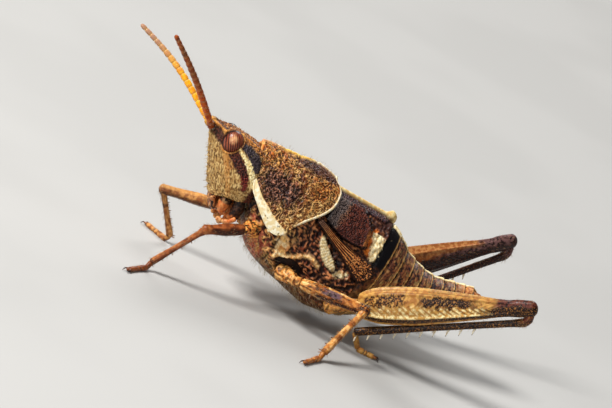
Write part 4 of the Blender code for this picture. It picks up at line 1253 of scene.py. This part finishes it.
def make_trunk():
    """One skin from the collar to the tail, with plates, seams and overlapping rings."""
    flat, turn = trunk_net()
    x, y, z = half_places(flat)
    noise, fine = NOISE(flat, 0.5), OTHER_NOISE(flat, 0.22)

    def patch(line, widths, soft, loose=0.3):
        """A marking or a form on the side of the body."""
        return swathe(y, z, line, widths, soft, loose * fine)

    # abdomen: each ring comes out from under the one before, and a keel runs down its back
    place = y - ABDOMEN_LEAN * z
    ring = np.clip(np.searchsorted(RINGS, place) - 1, 0, len(RINGS) - 2)
    share = (place - RINGS[ring]) / (RINGS[ring + 1] - RINGS[ring])
    abdomen = smooth(METATHORAX_END - 0.04, METATHORAX_END + 0.04, place)
    wide = 7 * smooth(10.8, 8.2, y)
    crest = smooth(8 + wide + 5 * share**2, 6 + wide + 4 * share**2, turn)
    crest *= abdomen * smooth(7.35, 7.6, place)
    spiracle = np.hypot((share - 0.3) * 1.1, (turn - 112) * 0.035)
    height = abdomen * (0.03 * smooth(0.5, 0.95, share) - 0.16 * smooth(0.4, 0.0, share))
    height = blend(height, 0.05 + 0.08 * smooth(0.15, 0.85, share), crest)
    height -= abdomen * (0.12 * hump(turn, PLEAT, 3.0) + 0.05 * hump(spiracle, 0, 0.1))
    height += abdomen * 0.02 * NOISE(flat, 0.14)

    # thorax: wrinkled side plates between seams, a ribbed bar and the raised rim of the hip
    thorax = 1 - abdomen
    side = within(turn, 16, 26, 135, 160)
    wrinkle = squiggles(flat * (1, 0.62, 1.25), 0.36, width=0.24, bend=0.6)
    folds = worms(flat * (1, 1.2, 0.7), 0.36)
    bar_along = line_place(y, z, CREAM_BAR)[1]
    bar = patch(CREAM_BAR, (0.2, 0.34, 0.44, 0.38, 0.26), 0.06, 0.06) * thorax
    ribs = 0.5 + 0.5 * np.sin(2 * math.pi * (bar_along + 0.05 * noise) / 0.24)
    behind_bar = patch(BEHIND_BAR, (0.14, 0.2, 0.26, 0.3), 0.1, 0) * thorax
    rim = hump(line_place(y, z, SOCKET_RIM)[0] + 0.03 * fine, 0, 0.15) * thorax
    socket = smooth(1.0, 0.8, np.hypot((y - 0.85) / 1.45, (z + 5.2) / 0.85)) * thorax * (1 - rim)
    front_seam = hump(y, PROTHORAX_END - 0.1, 0.1) * thorax * side
    plate = thorax * side * (1 - bar) * (1 - socket)
    white = patch([(6.35, 0.75), (6.75, 0.5), (6.8, -0.2), (6.9, -0.85)], (0.34, 0.56, 0.56, 0.36),
                  0.06, 0.22)
    white *= smooth(7.55, 7.45, place)
    height += plate * (0.1 * (wrinkle - 0.5) + 0.12 * (folds - 0.5)) + thorax * 0.05 * NOISE(flat, 1.3)
    height += bar * (0.13 + 0.06 * ribs) - 0.16 * behind_bar * (1 - bar)
    height += 0.2 * rim - 0.3 * socket - 0.1 * front_seam + 0.08 * white

    # markings, with painted shade in the hollows and painted highlight on the side plates' ridges
    glow = patch([(6.3, -0.7), (6.0, 0.0), (5.95, 0.7), (6.2, 1.2)], (0.34, 0.4, 0.36, 0.2), 0.15)
    glow *= smooth(7.4, 7.3, place) * thorax * smooth(-0.45, -0.05, fine)
    front_band = patch([(-1.2, -3.0), (-0.78, -3.7), (-0.5, -4.35)], (0.38, 0.52, 0.42), 0.12, 0.25) * thorax
    grey = patch([(-0.9, -2.55), (0.2, -2.9)], (0.3, 0.25), 0.2)
    grey += patch([(1.9, -3.2), (3.0, -3.75)], (0.3, 0.3), 0.2)
    spot = patch([(4.7, -3.75), (5.5, -3.35)], (0.2, 0.24), 0.1) * thorax
    low = smooth(70, 110, turn)
    streaks_down = smooth(0.05, 0.3, NOISE(np.stack((4 * place, 0.7 * z, 0.7 * x), -1), 0.5)) * abdomen
    ring_tan = smooth(0.84, 0.95, share + 0.03 * noise) * abdomen * (0.55 + 0.45 * low)
    ring_tan += 0.55 * streaks_down * (0.35 + 0.65 * low) * smooth(8.4, 8.6, place)
    belly = smooth(PLEAT - 2, PLEAT + 3, turn) * (0.5 + 0.5 * abdomen)
    belly += 0.6 * abdomen * smooth(84, 104, turn + 18 * noise)
    flesh = 0.9 * smooth(104, 116, turn) * within(y, -4.6, -4.0, -1.9, -1.3) * smooth(0.6, 0.0, noise + fine)
    masks = {
        # relief: light on the wrinkles' ridges, partly as painted highlight, and dark in their grooves as
        # painted shade
        "relief": smooth(0.1, 0.6, wrinkle * (0.3 + 0.7 * folds)),
        "plate": plate * (1 - 0.75 * smooth(5.2, 5.8, y) * smooth(-1.9, -1.2, z)),
        "grey": np.clip(grey, 0, 1) * thorax * (1 - bar),
        "abdomen": abdomen,
        "tail": smooth(15.2, 16.6, place + 0.3 * noise) * abdomen * smooth(PLEAT, PLEAT - 30, turn),
        "belly": np.clip(belly, 0, 1) * (1 - socket),
        "flesh": flesh * thorax,
        "black": (abdomen * smooth(8.55, 8.4, place) * smooth(-1.9, -1.1, z + 0.3 * noise)
                  + 0.8 * behind_bar),
        "tan": (ring_tan + 1.2 * rim + 0.9 * front_band
                + 0.75 * plate * smooth(1.0, -0.8, y) * wrinkle * smooth(-0.3, 0.2, noise)),
        "orange": (1.2 * glow + 0.5 * rim * smooth(0.0, 0.3, fine)
                   + 0.6 * front_band * smooth(-0.1, 0.3, noise)),
        "cream": (bar * (0.45 + 0.55 * ribs) + white * (0.75 + 0.25 * wrinkle) + crest + 0.8 * spot
                  + 0.75 * front_band * smooth(-0.2, 0.1, noise) + 0.6 * rim * smooth(-0.35, 0.0, fine)),
        # painted shade in the hip socket, the seam behind the prothorax, under the head, where each ring
        # comes out from under the one before, and in the spiracles
        "hollow": (socket * (0.95 - 0.5 * wrinkle) + 0.85 * front_seam + 0.85 * smooth(-4.0, -4.6, y)
                   + 0.8 * abdomen * hump(share, 0.0, 0.05) + abdomen * hump(spiracle, 0, 0.06)),
    }
    skin = Skin("trunk_skin", "thorax", ["prothorax", "mesothorax", "metathorax", "abdomen_tip"]
                + [f"abdomen_{i + 1}" for i in range(len(ABDOMEN_ENDS))])
    skin.add(to_world(raised(flat, height, True)), masks)
    for sign in SIDES.values():
        cercus = limb(to_world(CERCUS * (sign, 1, 1)), ((0, 0.27), (1, 0.12)), 24, 24, domes=(0.1, 0.15))[0]
        skin.add(cercus, {"tail": 1.0, "abdomen": 1.0, "relief": 0.5})
    skin.build(trunk_look())
    under = smooth(110, 150, turn)
    fields = [
        (0, 800, 0.3, 0.011, 0.8, 0.8, abdomen * (0.03 + under)),
        (0, 800, 0.6, 0.012, 1.0, 0.4, thorax * under),
        (0, 90, 0.22, 0.008, 1.0, 0.2, thorax * side),
    ]
    hair = hair_look("body_hair", (206, 192, 160), (170, 150, 116))
    bristles("bristles_trunk", skin, hair, fields, seed=23)


# ---------------- legs


TROCHANTERS = {"front": (3.3, -4.0, -3.95), "middle": (3.85, 1.75, -5.75), "hind": (3.6, 7.3, -5.2)}
HIPS = {"front": (2.1, -3.5, -4.2), "middle": (2.3, 0.9, -5.9), "hind": (2.5, 6.0, -6.1)}
FAR_HIND_RISE = 0.6
COXA_RADII = {"front": (0.75, 0.55), "middle": (0.85, 0.6), "hind": (1.05, 0.7)}
# The front coxa's skin starts higher and wider than its solid
FRONT_COXA_RISE, FRONT_COXA_RADIUS = 0.4, 0.98
# For each leg: the knee at the femur's end, the tibia's upper end, the ankle and the toe
STANCE = {
    ("front", "left"): ((5.0, -9.2, 5.4), (5.0, -9.2, 5.4), (4.6, -12.2, 0.75), (7.0, -14.2, 0.2)),
    ("front", "right"): ((-4.0, -12.2, 4.6), (-4.0, -12.15, 4.5), (-4.3, -9.8, 0.75), (-6.7, -11.6, 0.2)),
    ("middle", "left"): ((6.8, 6.2, 4.5), (6.8, 6.2, 4.5), (10.2, 3.6, 0.75), (12.8, 1.8, 0.2)),
    ("middle", "right"): ((-7.2, 5.6, 4.0), (-7.2, 5.6, 4.0), (-10.0, 3.6, 0.75), (-12.6, 1.8, 0.2)),
    ("hind", "left"): ((8.5, 18.9, 10.75), (8.35, 19.1, 9.38), (4.2, 6.9, 1.55), (4.8, 9.3, 0.2)),
    ("hind", "right"): ((-7.6, 19.5, 11.1), (-7.5, 19.6, 9.7), (-6.1, 9.5, 0.85), (-7.0, 12.4, 0.2)),
}
# Along each femur: half thickness and half height at shares of its length
FEMUR_FORMS = {
    "front": (((0, 0.34), (0.15, 0.46), (0.5, 0.5), (0.85, 0.4), (1, 0.42)),
              ((0, 0.36), (0.15, 0.5), (0.5, 0.55), (0.85, 0.42), (1, 0.46))),
    "middle": (((0, 0.38), (0.15, 0.5), (0.5, 0.55), (0.85, 0.45), (1, 0.48)),
               ((0, 0.4), (0.15, 0.55), (0.5, 0.62), (0.85, 0.48), (1, 0.52))),
    "hind": (((0, 0.5), (0.06, 0.72), (0.16, 0.9), (0.3, 0.92), (0.5, 0.76), (0.7, 0.56), (0.86, 0.44),
              (0.93, 0.52), (1, 0.5)),
             ((0, 0.8), (0.06, 1.25), (0.16, 1.56), (0.3, 1.6), (0.5, 1.34), (0.7, 0.96), (0.86, 0.66),
              (0.93, 0.78), (1, 0.72))),
}
TIBIA_RADIUS = {"front": 0.28, "middle": 0.31, "hind": 0.34}
TARSUS_RADIUS = {"front": 0.25, "middle": 0.25, "hind": 0.27}
# The femur's and tibia's grids have this many rows, and this many hairs lie on each
LEG_ROWS = {"front": 150, "middle": 170, "hind": 330}
LEG_HAIRS = {"front": 170, "middle": 260, "hind": 300}
# Where in the noise the streaks of each pair lie, so that they differ
STREAK_PLACES = {"front": 1.0, "middle": 4.0, "hind": 8.0}
# The spines in a row behind the tibia: their number, length and half width
SPINES = {"front": (4, 0.22, 0.07), "middle": (5, 0.3, 0.075), "hind": (9, 0.62, 0.12)}
CHEVRONS = 25
# A foot's three segments: the shares of the foot that each spans, and its size
TARSUS_SPANS = ((0.0, 0.42, 1.05), (0.4, 0.58, 0.95), (0.55, 1.0, 0.9))


def make_leg(pair, side, material, horn, hair):
    """One leg's skin from coxa to toe, in overlapping segments, with its spines."""
    mirror = (SIDES[side], 1, 1)
    rise = FAR_HIND_RISE if (pair, side) == ("hind", "right") else 0.0
    hip = to_world(np.array(HIPS[pair]) * mirror)
    trochanter = to_world((np.array(TROCHANTERS[pair]) + (0, 0, rise)) * mirror)
    knee, bend, ankle, toe = (np.array(p) for p in STANCE[pair, side])
    name = f"{pair}_{side}"
    skin = Skin("leg_" + name, "leg", [f"{piece}_{name}" for piece in ("coxa", "femur", "tibia", "tarsus")])
    sharp = Skin("claws_" + name, "leg", [])

    thick, thin = COXA_RADII[pair]
    out = unit(trochanter - hip)
    if pair == "front":
        hip, thick = hip + (0, 0, FRONT_COXA_RISE), FRONT_COXA_RADIUS
    form = ((0, thick), (0.7, thin * 0.9), (1, thin * 0.8))
    coxa, _, _ = limb([hip - out * 0.5, trochanter + out * 0.25], form, 90, 100, domes=(0.3, 0.4),
                      relief=coxa_relief)
    skin.add(coxa, coxa_masks(pair, coxa))
    ahead = unit(knee - trochanter)
    path = [trochanter - ahead * 0.1, trochanter + ahead * thin]
    joint, share, _ = limb(path, thin * 0.72, 40, 60, thin * 0.78, domes=(0.2, 0.2), relief=knobbly)
    skin.add(joint, {**coxa_masks(pair, joint), "dark": 0.8 * hump(share, 0.85, 0.1)})

    half, height = (smooth_table(form) for form in FEMUR_FORMS[pair])
    start = trochanter + ahead * thin * 0.7
    length = np.linalg.norm(knee - start) + height(1.0) * 0.85
    stretch = np.linalg.norm(knee - start) / length
    femur, share, angle = limb([start, start + ahead * length], lambda s: half(s / stretch), LEG_ROWS[pair],
                               96 if pair == "hind" else 60, lambda s: height(s / stretch),
                               domes=(0.3, height(1.0) * 0.8), relief=RELIEFS[pair])
    markings = hind_femur_masks if pair == "hind" else femur_masks
    skin.add(femur, markings(pair, side, share / stretch, angle, femur))

    radius = TIBIA_RADIUS[pair]
    shin = unit(ankle - bend)
    path, back = [knee, ankle + shin * 0.1], trochanter - ankle
    if pair == "hind":
        under = unit(np.cross(ahead, np.cross((0, 0, 1), ahead))) * height(1.0)
        path = [knee - under * 0.6, blend(bend, knee - under, 0.35), bend + shin * 0.25, path[-1]]
        back = -back
    form = tuple((place, radius * size) for place, size in TIBIA_FORM)
    tibia, share, angle = limb(path, form, LEG_ROWS[pair], 48, domes=(0.2, 0.2), relief=shin_relief)
    skin.add(tibia, tibia_masks(pair, share, angle, tibia))
    add_spines(sharp, pair, path[-2], path[-1], unit(back), radius)
    add_foot(skin, sharp, ankle, toe, TARSUS_RADIUS[pair])
    skin.build(material)
    sharp.build(horn)
    number = LEG_HAIRS[pair]
    fields = [(0, 40, 0.34, 0.012, 1.0, 0.3, None), (2, number, 0.28, 0.012, 0.8, 0.8, None),
              (3, number, 0.32, 0.012, 0.9, 0.8, None)]
    fields += [(5 + k, count, 0.2, 0.01, 0.8, 0.6, None) for k, count in enumerate((50, 40, 50))]
    bristles("bristles_leg_" + name, skin, hair, fields, 31)


def outward(angle):
    """The angle up a limb's side, from -90 at the bottom to 90 at the top, on either side alike."""
    return np.where(np.abs(angle) < 90, angle, np.sign(angle) * 180 - angle)


def chevron_wave(share, out):
    return np.cos(2 * math.pi * (share * CHEVRONS - np.abs(out - 4) * 0.045))


def hind_femur_relief(share, angle, points):
    """Keels along the femur and the chevrons of ridges between them."""
    out = outward(angle)
    keels = 0.09 * hump(out, 48, 6)
    for place, width in ((-34, 5), (88, 8), (-71, 5)):
        keels += 0.12 * hump(out, place, width)
    inside = within(out, -32, -26, 38, 46) * within(share, 0.03, 0.08, 0.8, 0.86)
    chevrons = smooth(-0.3, 0.6, chevron_wave(share, out)) * smooth(45, -15, out)
    inside *= smooth(0.95, 0.8, share) * (0.06 * chevrons - 0.05)
    return keels * smooth(0.9, 0.8, share) + inside + 0.012 * NOISE(points, 0.13)


def femur_relief(share, angle, points):
    keels = 0.04 * hump(np.abs(angle), 90, 12) + 0.03 * hump(np.abs(np.abs(angle) - 90), 55, 9)
    return keels * smooth(0.95, 0.85, share) + 0.012 * NOISE(points, 0.16)


def shin_relief(share, angle, points):
    keels = 0.03 * hump(np.abs(np.abs(angle) - 90), 45, 12)
    return keels * within(share, 0.02, 0.15, 0.9, 0.98) + 0.01 * NOISE(points, 0.14)


def knobbly(share, angle, points):
    return 0.02 * NOISE(points, 0.3) + 0.01 * NOISE(points, 0.12)


def coxa_folds(points):
    return worms(points, 0.3, sharp=0.4, bend=0.7)


def coxa_relief(share, angle, points):
    return 0.07 * (coxa_folds(points) - 0.6) + 0.015 * NOISE(points, 0.12)


RELIEFS = {"front": femur_relief, "middle": femur_relief, "hind": hind_femur_relief}
TIBIA_FORM = ((0, 1.1), (0.06, 1.25), (0.14, 0.95), (0.55, 0.9), (0.93, 1.1), (1, 1.05))


def coxa_masks(pair, points):
    noise = NOISE(points, 0.5)
    gold, pale, streak, gap = {
        "front": (1.0, 0.2, 0.3, 0.95), "middle": (0.35, 0.9, 0.3, 0.65), "hind": (0.5, 0.2, 0.8, 0.65),
    }[pair]
    return {
        "gold": gold * smooth(-0.5, 0.1, noise),
        "pale": pale * smooth(-0.5, 0.2, noise),
        "streak": streak * smooth(0.0, 0.4, noise),
        # the creases between the folds darkened nearly to black as painted shade
        "gap": gap * smooth(0.55, 0.1, coxa_folds(points) + 0.5 * noise),
    }


def streaks(share, angle, place):
    """Long fine streaks down a limb, from 0 to 1."""
    a = np.radians(angle)
    places = np.stack((share * 2.2 + place, 1.4 * np.cos(a), 1.4 * np.sin(a)), -1)
    return smooth(0.05, 0.4, NOISE(places, 0.55) + 0.4 * OTHER_NOISE(places * (3, 1, 1), 0.4))


def hind_femur_masks(pair, side, share, angle, points):
    """Two dark blotches over fishbone stripes outside; plain inside, darker below as painted shade and paler
    on top as painted light; and a dark knee.
    """
    noise, fine = NOISE(points, 0.45), OTHER_NOISE(points, 0.16)
    out, rise = outward(angle), np.sin(np.radians(angle))
    outside = smooth(-0.15, 0.15, np.cos(np.radians(angle)) * SIDES[side])
    chevron = chevron_wave(share, out)
    first = smooth(0.03, 0.07, share) * smooth(0.31, 0.25, share + 0.03 * noise)
    first *= smooth(-8, 8, out - 60 * (share - 0.17) + 14 * noise + 8 * fine)
    first *= smooth(48, 38, out + 12 * noise + 6 * fine)
    second = smooth(0.35, 0.4, share + 0.03 * noise) * smooth(0.76, 0.6, share)
    second *= smooth(-4, 8, out - 14 * noise + 6 * fine) * smooth(48, 38, out + 10 * noise + 8 * fine)
    blotch = 1.1 * first * smooth(0.2, -0.1, fine + 0.12 * chevron)
    blotch += 1.2 * second * smooth(0.8, 0.3, fine + 0.2 * chevron)
    under = within(out, -67, -61, -41, -36) + smooth(-75, -80, out)
    knee = smooth(0.76, 0.84, share + 0.03 * noise)
    black = 1.4 * knee * smooth(0.45, 0.1, rise + 0.3 * noise)
    black += 0.7 * smooth(0.66, 0.76, share) * smooth(0.2, -0.2, rise)
    gaps = smooth(-0.1, -0.7, chevron) * within(out, -32, -26, -4, 10) * smooth(0.03, 0.08, share)
    lines = (0.75 * hump(out, 53, 2.2) + 0.55 * hump(out, 69, 2.6)) * within(share, 0.05, 0.12, 0.7, 0.8)
    streak = streaks(share, angle, STREAK_PLACES[pair]) * smooth(40, 52, out)
    bones = smooth(-0.9, 0.1, chevron) * within(out, -33, -28, -6, 16) * (1 - blotch) * (1 - knee)
    bones += 1.5 * hump(out, -33, 6) * smooth(0.85, 0.75, share)
    brown = 1.1 * knee + 0.8 * first * smooth(0.4, -0.2, fine)
    return {
        # inside: the lower half darkened as painted shade and the top paled as painted light
        "dark": blend(smooth(0.45, 0.0, rise + 0.3 * noise), blotch + 1.2 * under + black, outside),
        "streak": (0.4 * gaps + 0.35 * streak + lines) * outside,
        "pale": blend(smooth(0.35, 0.7, rise + 0.2 * noise) * (1 - knee), bones, outside),
        "band": blend(smooth(0.5, 0.62, share + 0.06 * noise), brown, outside),
    }


def femur_masks(pair, side, share, angle, points):
    noise, fine = NOISE(points, 0.45), OTHER_NOISE(points, 0.16)
    rise = np.sin(np.radians(angle))
    streak = streaks(share, angle, STREAK_PLACES[pair])
    if pair == "middle":
        grey = within(share + 0.04 * noise, 0.3, 0.38, 0.6, 0.72)
        dark = 1.3 * within(rise, -0.95, -0.8, -0.4, -0.15) * smooth(0.2, 0.35, share)
        return {
            "band": grey * within(rise, -0.1, 0.2, 0.9, 0.98),
            # the pale line along the top is a painted highlight; the pale root is the leg's own colour
            "pale": 0.9 * smooth(0.35, 0.1, share + 0.2 * noise) + 0.9 * hump(rise, 0.97, 0.06),
            "streak": 0.9 * streak * smooth(-0.6, -0.2, rise) + 0.7 * hump(rise, -0.15, 0.12),
            "dark": dark + smooth(0.86, 0.93, share) * smooth(-0.3, 0.3, fine + 0.2),
        }
    if side == "left":
        return {
            # darker below and on the sides as painted shade, lighter along the top
            "dark": 0.85 * smooth(0.95, 0.7, share + 0.08 * noise) * smooth(0.75, 0.2, rise + 0.3 * noise),
            "pale": 0.35 * smooth(0.88, 0.95, share),
            "streak": 0.5 * streak,
        }
    return {
        # darker below as painted shade, paler on top as painted light
        "dark": 0.85 * smooth(0.1, -0.5, rise + 0.3 * noise),
        "streak": 0.5 * streak,
        "band": 0.6 * smooth(0.6, 0.95, share),
        "pale": 0.5 * smooth(0.3, 0.8, rise),
    }


def tibia_masks(pair, share, angle, points):
    noise = NOISE(points, 0.5)
    rise = np.sin(np.radians(angle))
    streak = streaks(share, angle, STREAK_PLACES[pair] + 1)
    if pair == "hind":
        dark = smooth(0.04, 0.1, share) * smooth(1.6, 0.8, rise + 0.4 * noise)
        return {"dark": dark, "band": smooth(0.12, 0.05, share), "streak": 0.6 * streak}
    rings = smooth(0.3, 0.9, np.cos(2 * math.pi * (share * 3.0 + 0.1 * noise)))
    return {
        # dark rings, and the underside darkened as painted shade; the top between the rings paled as painted
        # light
        "dark": 0.5 * rings * smooth(-0.4, 0.3, noise) + 0.6 * smooth(-0.3, -0.8, rise),
        "pale": 0.6 * (1 - rings) * smooth(-0.2, 0.6, rise),
        "streak": 0.5 * streak,
    }


def add_spines(skin, pair, start, end, back, radius):
    """Two rows of spines along the back of a shin, and the spurs at its end."""
    ahead = unit(end - start)
    back = unit(back - ahead * (back @ ahead))
    across = np.cross(ahead, back)
    count, length, width = SPINES[pair]
    for sign in (1, -1):
        out = unit(back + across * (0.55 * sign))
        for k in range(count + 1):
            root = start + (end - start) * (0.28 + 0.7 * k / count)
            size = length * (1.15 if k == count else 1.0)
            tip = root + out * (radius + size * 0.85) + ahead * size * 0.6
            form = ((0, width), (0.4, 0.8 * width), (1, 0.02))
            spine, t, _ = limb([root + out * radius * 0.5, tip], form, 10, 10, up=across)
            skin.add(spine, {"tip": smooth(0.78, 0.95, t), "claw": 0.0 if pair == "hind" else 0.9})


def add_foot(skin, sharp, ankle, toe, radius):
    """Three tarsal segments with their pads, flat on the floor, a pad between two claws."""
    flat = unit((toe - ankle) * (1, 1, 0))
    heel = np.array((ankle[0], ankle[1], 0.24)) + flat * max(0.2, ankle[2] - 0.75)
    run = toe - heel
    neck = limb([ankle, heel + run * 0.05], radius * 0.95, 20, 32, domes=(0.15, 0.15), up=flat)[0]
    skin.add(neck, {"dark": 0.3})
    for first, last, size in TARSUS_SPANS:
        form = ((0, radius * size * 0.8), (0.7, radius * size), (1, radius * size * 0.9))
        part, share, _ = limb([heel + run * first, heel + run * last], form, 36, 36, domes=(0.16, 0.16),
                              relief=lambda share, angle, points: 0.01 * NOISE(points, 0.12), floor=0.0)
        skin.add(part, {"band": 0.8 * hump(share, 0.0, 0.15), "dark": 0.5 * smooth(0.85, 1.0, share)})
    pad = limb([toe - flat * 0.1, toe + flat * 0.3], 0.16, 16, 24, 0.12, domes=(0.1, 0.15), floor=0.0)[0]
    skin.add(pad, {"dark": 0.5})
    across = unit(np.cross(flat, (0, 0, 1)))
    for sign in (1, -1):
        root = toe - flat * 0.1 + across * 0.1 * sign + (0, 0, 0.04)
        bow = toe + flat * 0.3 + across * 0.24 * sign + (0, 0, 0.06)
        tip = toe + flat * 0.52 + across * 0.3 * sign
        tip[2] = 0.03
        claw, share, _ = limb([root, bow, tip], ((0, 0.1), (1, 0.02)), 18, 14, floor=0.0)
        sharp.add(claw, {"claw": 1.0, "tip": smooth(0.1, 0.7, share)})


# Each leg's material and its main, second, band, dark and pale colours
LEG_COLOURS = {
    ("front", "left"):
        ("leg_rust", (158, 84, 40), (112, 54, 26), (90, 50, 38), (34, 14, 10), (206, 136, 78)),
    ("front", "right"):
        ("leg_sand", (206, 144, 78), (146, 84, 40), (110, 66, 44), (44, 18, 12), (226, 172, 100)),
    ("middle", "left"):
        ("leg_amber", (206, 132, 58), (152, 82, 32), (104, 76, 82), (36, 13, 8), (250, 204, 128)),
    ("hind", "left"):
        ("leg_straw", (204, 152, 76), (166, 108, 48), (98, 46, 33), (24, 8, 6), (255, 234, 172)),
    ("hind", "right"):
        ("leg_tawny", (150, 86, 42), (104, 54, 30), (112, 78, 74), (34, 18, 16), (182, 124, 70)),
}


def make_legs():
    """The six legs, each in its own colours but for the middle two, which share theirs."""
    looks = {leg: leg_look(*colours) for leg, colours in LEG_COLOURS.items()}
    horn, hair = claw_look(), hair_look("leg_hair", (196, 164, 120), (140, 104, 66))
    for pair, side in STANCE:
        material = looks.get((pair, side)) or looks[pair, "left"]
        make_leg(pair, side, material, horn, hair)


# ---------------- stage


FLOOR_REACH = 3.0
WORLD_COLOUR = (0.82, 0.84, 0.86, 1)
WORLD_STRENGTH = 0.25
# Each light: its way from the model as shares of right, up and back, its distance, size and power
LIGHTS = {
    "key": ((-0.35, 0.9, 0.55), 0.35, 0.11, 1.65),
    "fill": ((-0.25, 0.1, 1.0), 0.5, 0.3, 0.5),
    "rim": ((0.5, 0.9, -0.6), 0.4, 0.2, 0.8),
}


def make_floor():
    mesh = bpy.data.meshes.new("floor")
    corners = [(x * FLOOR_REACH, y * FLOOR_REACH, 0) for x, y in ((-1, -1), (1, -1), (1, 1), (-1, 1))]
    mesh.from_pydata(corners, [], [(0, 1, 2, 3)])
    floor = linked(bpy.data.objects.new("floor", mesh))
    look = Look("floor", (182, 180, 176), 0.7).paint((30, (186, 184, 180)))
    mesh.materials.append(look.finish(2.0, 0.02))


def view_axes():
    """The picture's right and up and the way back to the camera, as the rows of an array."""
    azimuth, elevation, turn = (math.radians(a) for a in (VIEW_AZIMUTH, VIEW_ELEVATION, VIEW_TURN))
    level = math.cos(elevation)
    back = np.array((math.sin(azimuth) * level, -math.cos(azimuth) * level, math.sin(elevation)))
    right = unit(np.cross(-back, (0, 0, 1)))
    up = np.cross(right, -back)
    c, s = math.cos(turn), math.sin(turn)
    return np.stack((right * c + up * s, up * c - right * s, back))


def make_stage():
    """A plain pale floor, soft lights and the camera at the photograph's angle."""
    make_floor()
    scene = bpy.context.scene
    scene.world = bpy.data.worlds.new("studio")
    scene.world.use_nodes = True
    background = scene.world.node_tree.nodes["Background"]
    background.inputs["Color"].default_value = WORLD_COLOUR
    background.inputs["Strength"].default_value = WORLD_STRENGTH

    axes = view_axes()
    data = bpy.data.cameras.new("camera")
    data.lens, data.sensor_width = LENS, SENSOR
    camera = linked(bpy.data.objects.new("camera", data))
    place = (VIEW_TARGET + axes[2] * VIEW_DISTANCE) * MM
    camera.matrix_world = Matrix([[*axes[:, i], place[i]] for i in range(3)] + [[0, 0, 0, 1]])
    scene.camera = camera

    target = Vector(VIEW_TARGET * MM)
    for name, (way, distance, size, power) in LIGHTS.items():
        light = bpy.data.lights.new(name, "AREA")
        light.shape, light.size, light.energy = "DISK", size, power
        lamp = linked(bpy.data.objects.new(name, light))
        lamp.location = target + Vector(unit(way @ axes)) * distance
        lamp.rotation_euler = (lamp.location - target).to_track_quat("Z", "Y").to_euler()
    scene.view_settings.view_transform = "Standard"


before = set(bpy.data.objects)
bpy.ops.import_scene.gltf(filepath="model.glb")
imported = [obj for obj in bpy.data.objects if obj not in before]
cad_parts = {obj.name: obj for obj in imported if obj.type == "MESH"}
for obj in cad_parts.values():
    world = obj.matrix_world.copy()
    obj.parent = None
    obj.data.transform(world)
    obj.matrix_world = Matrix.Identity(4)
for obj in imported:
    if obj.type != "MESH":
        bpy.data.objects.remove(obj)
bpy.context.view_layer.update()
make_head()
make_eyes()
make_antennae()
make_mouth()
make_pronotum()
make_back_ridges()
make_wing_pads()
make_trunk()
make_legs()
make_stage()
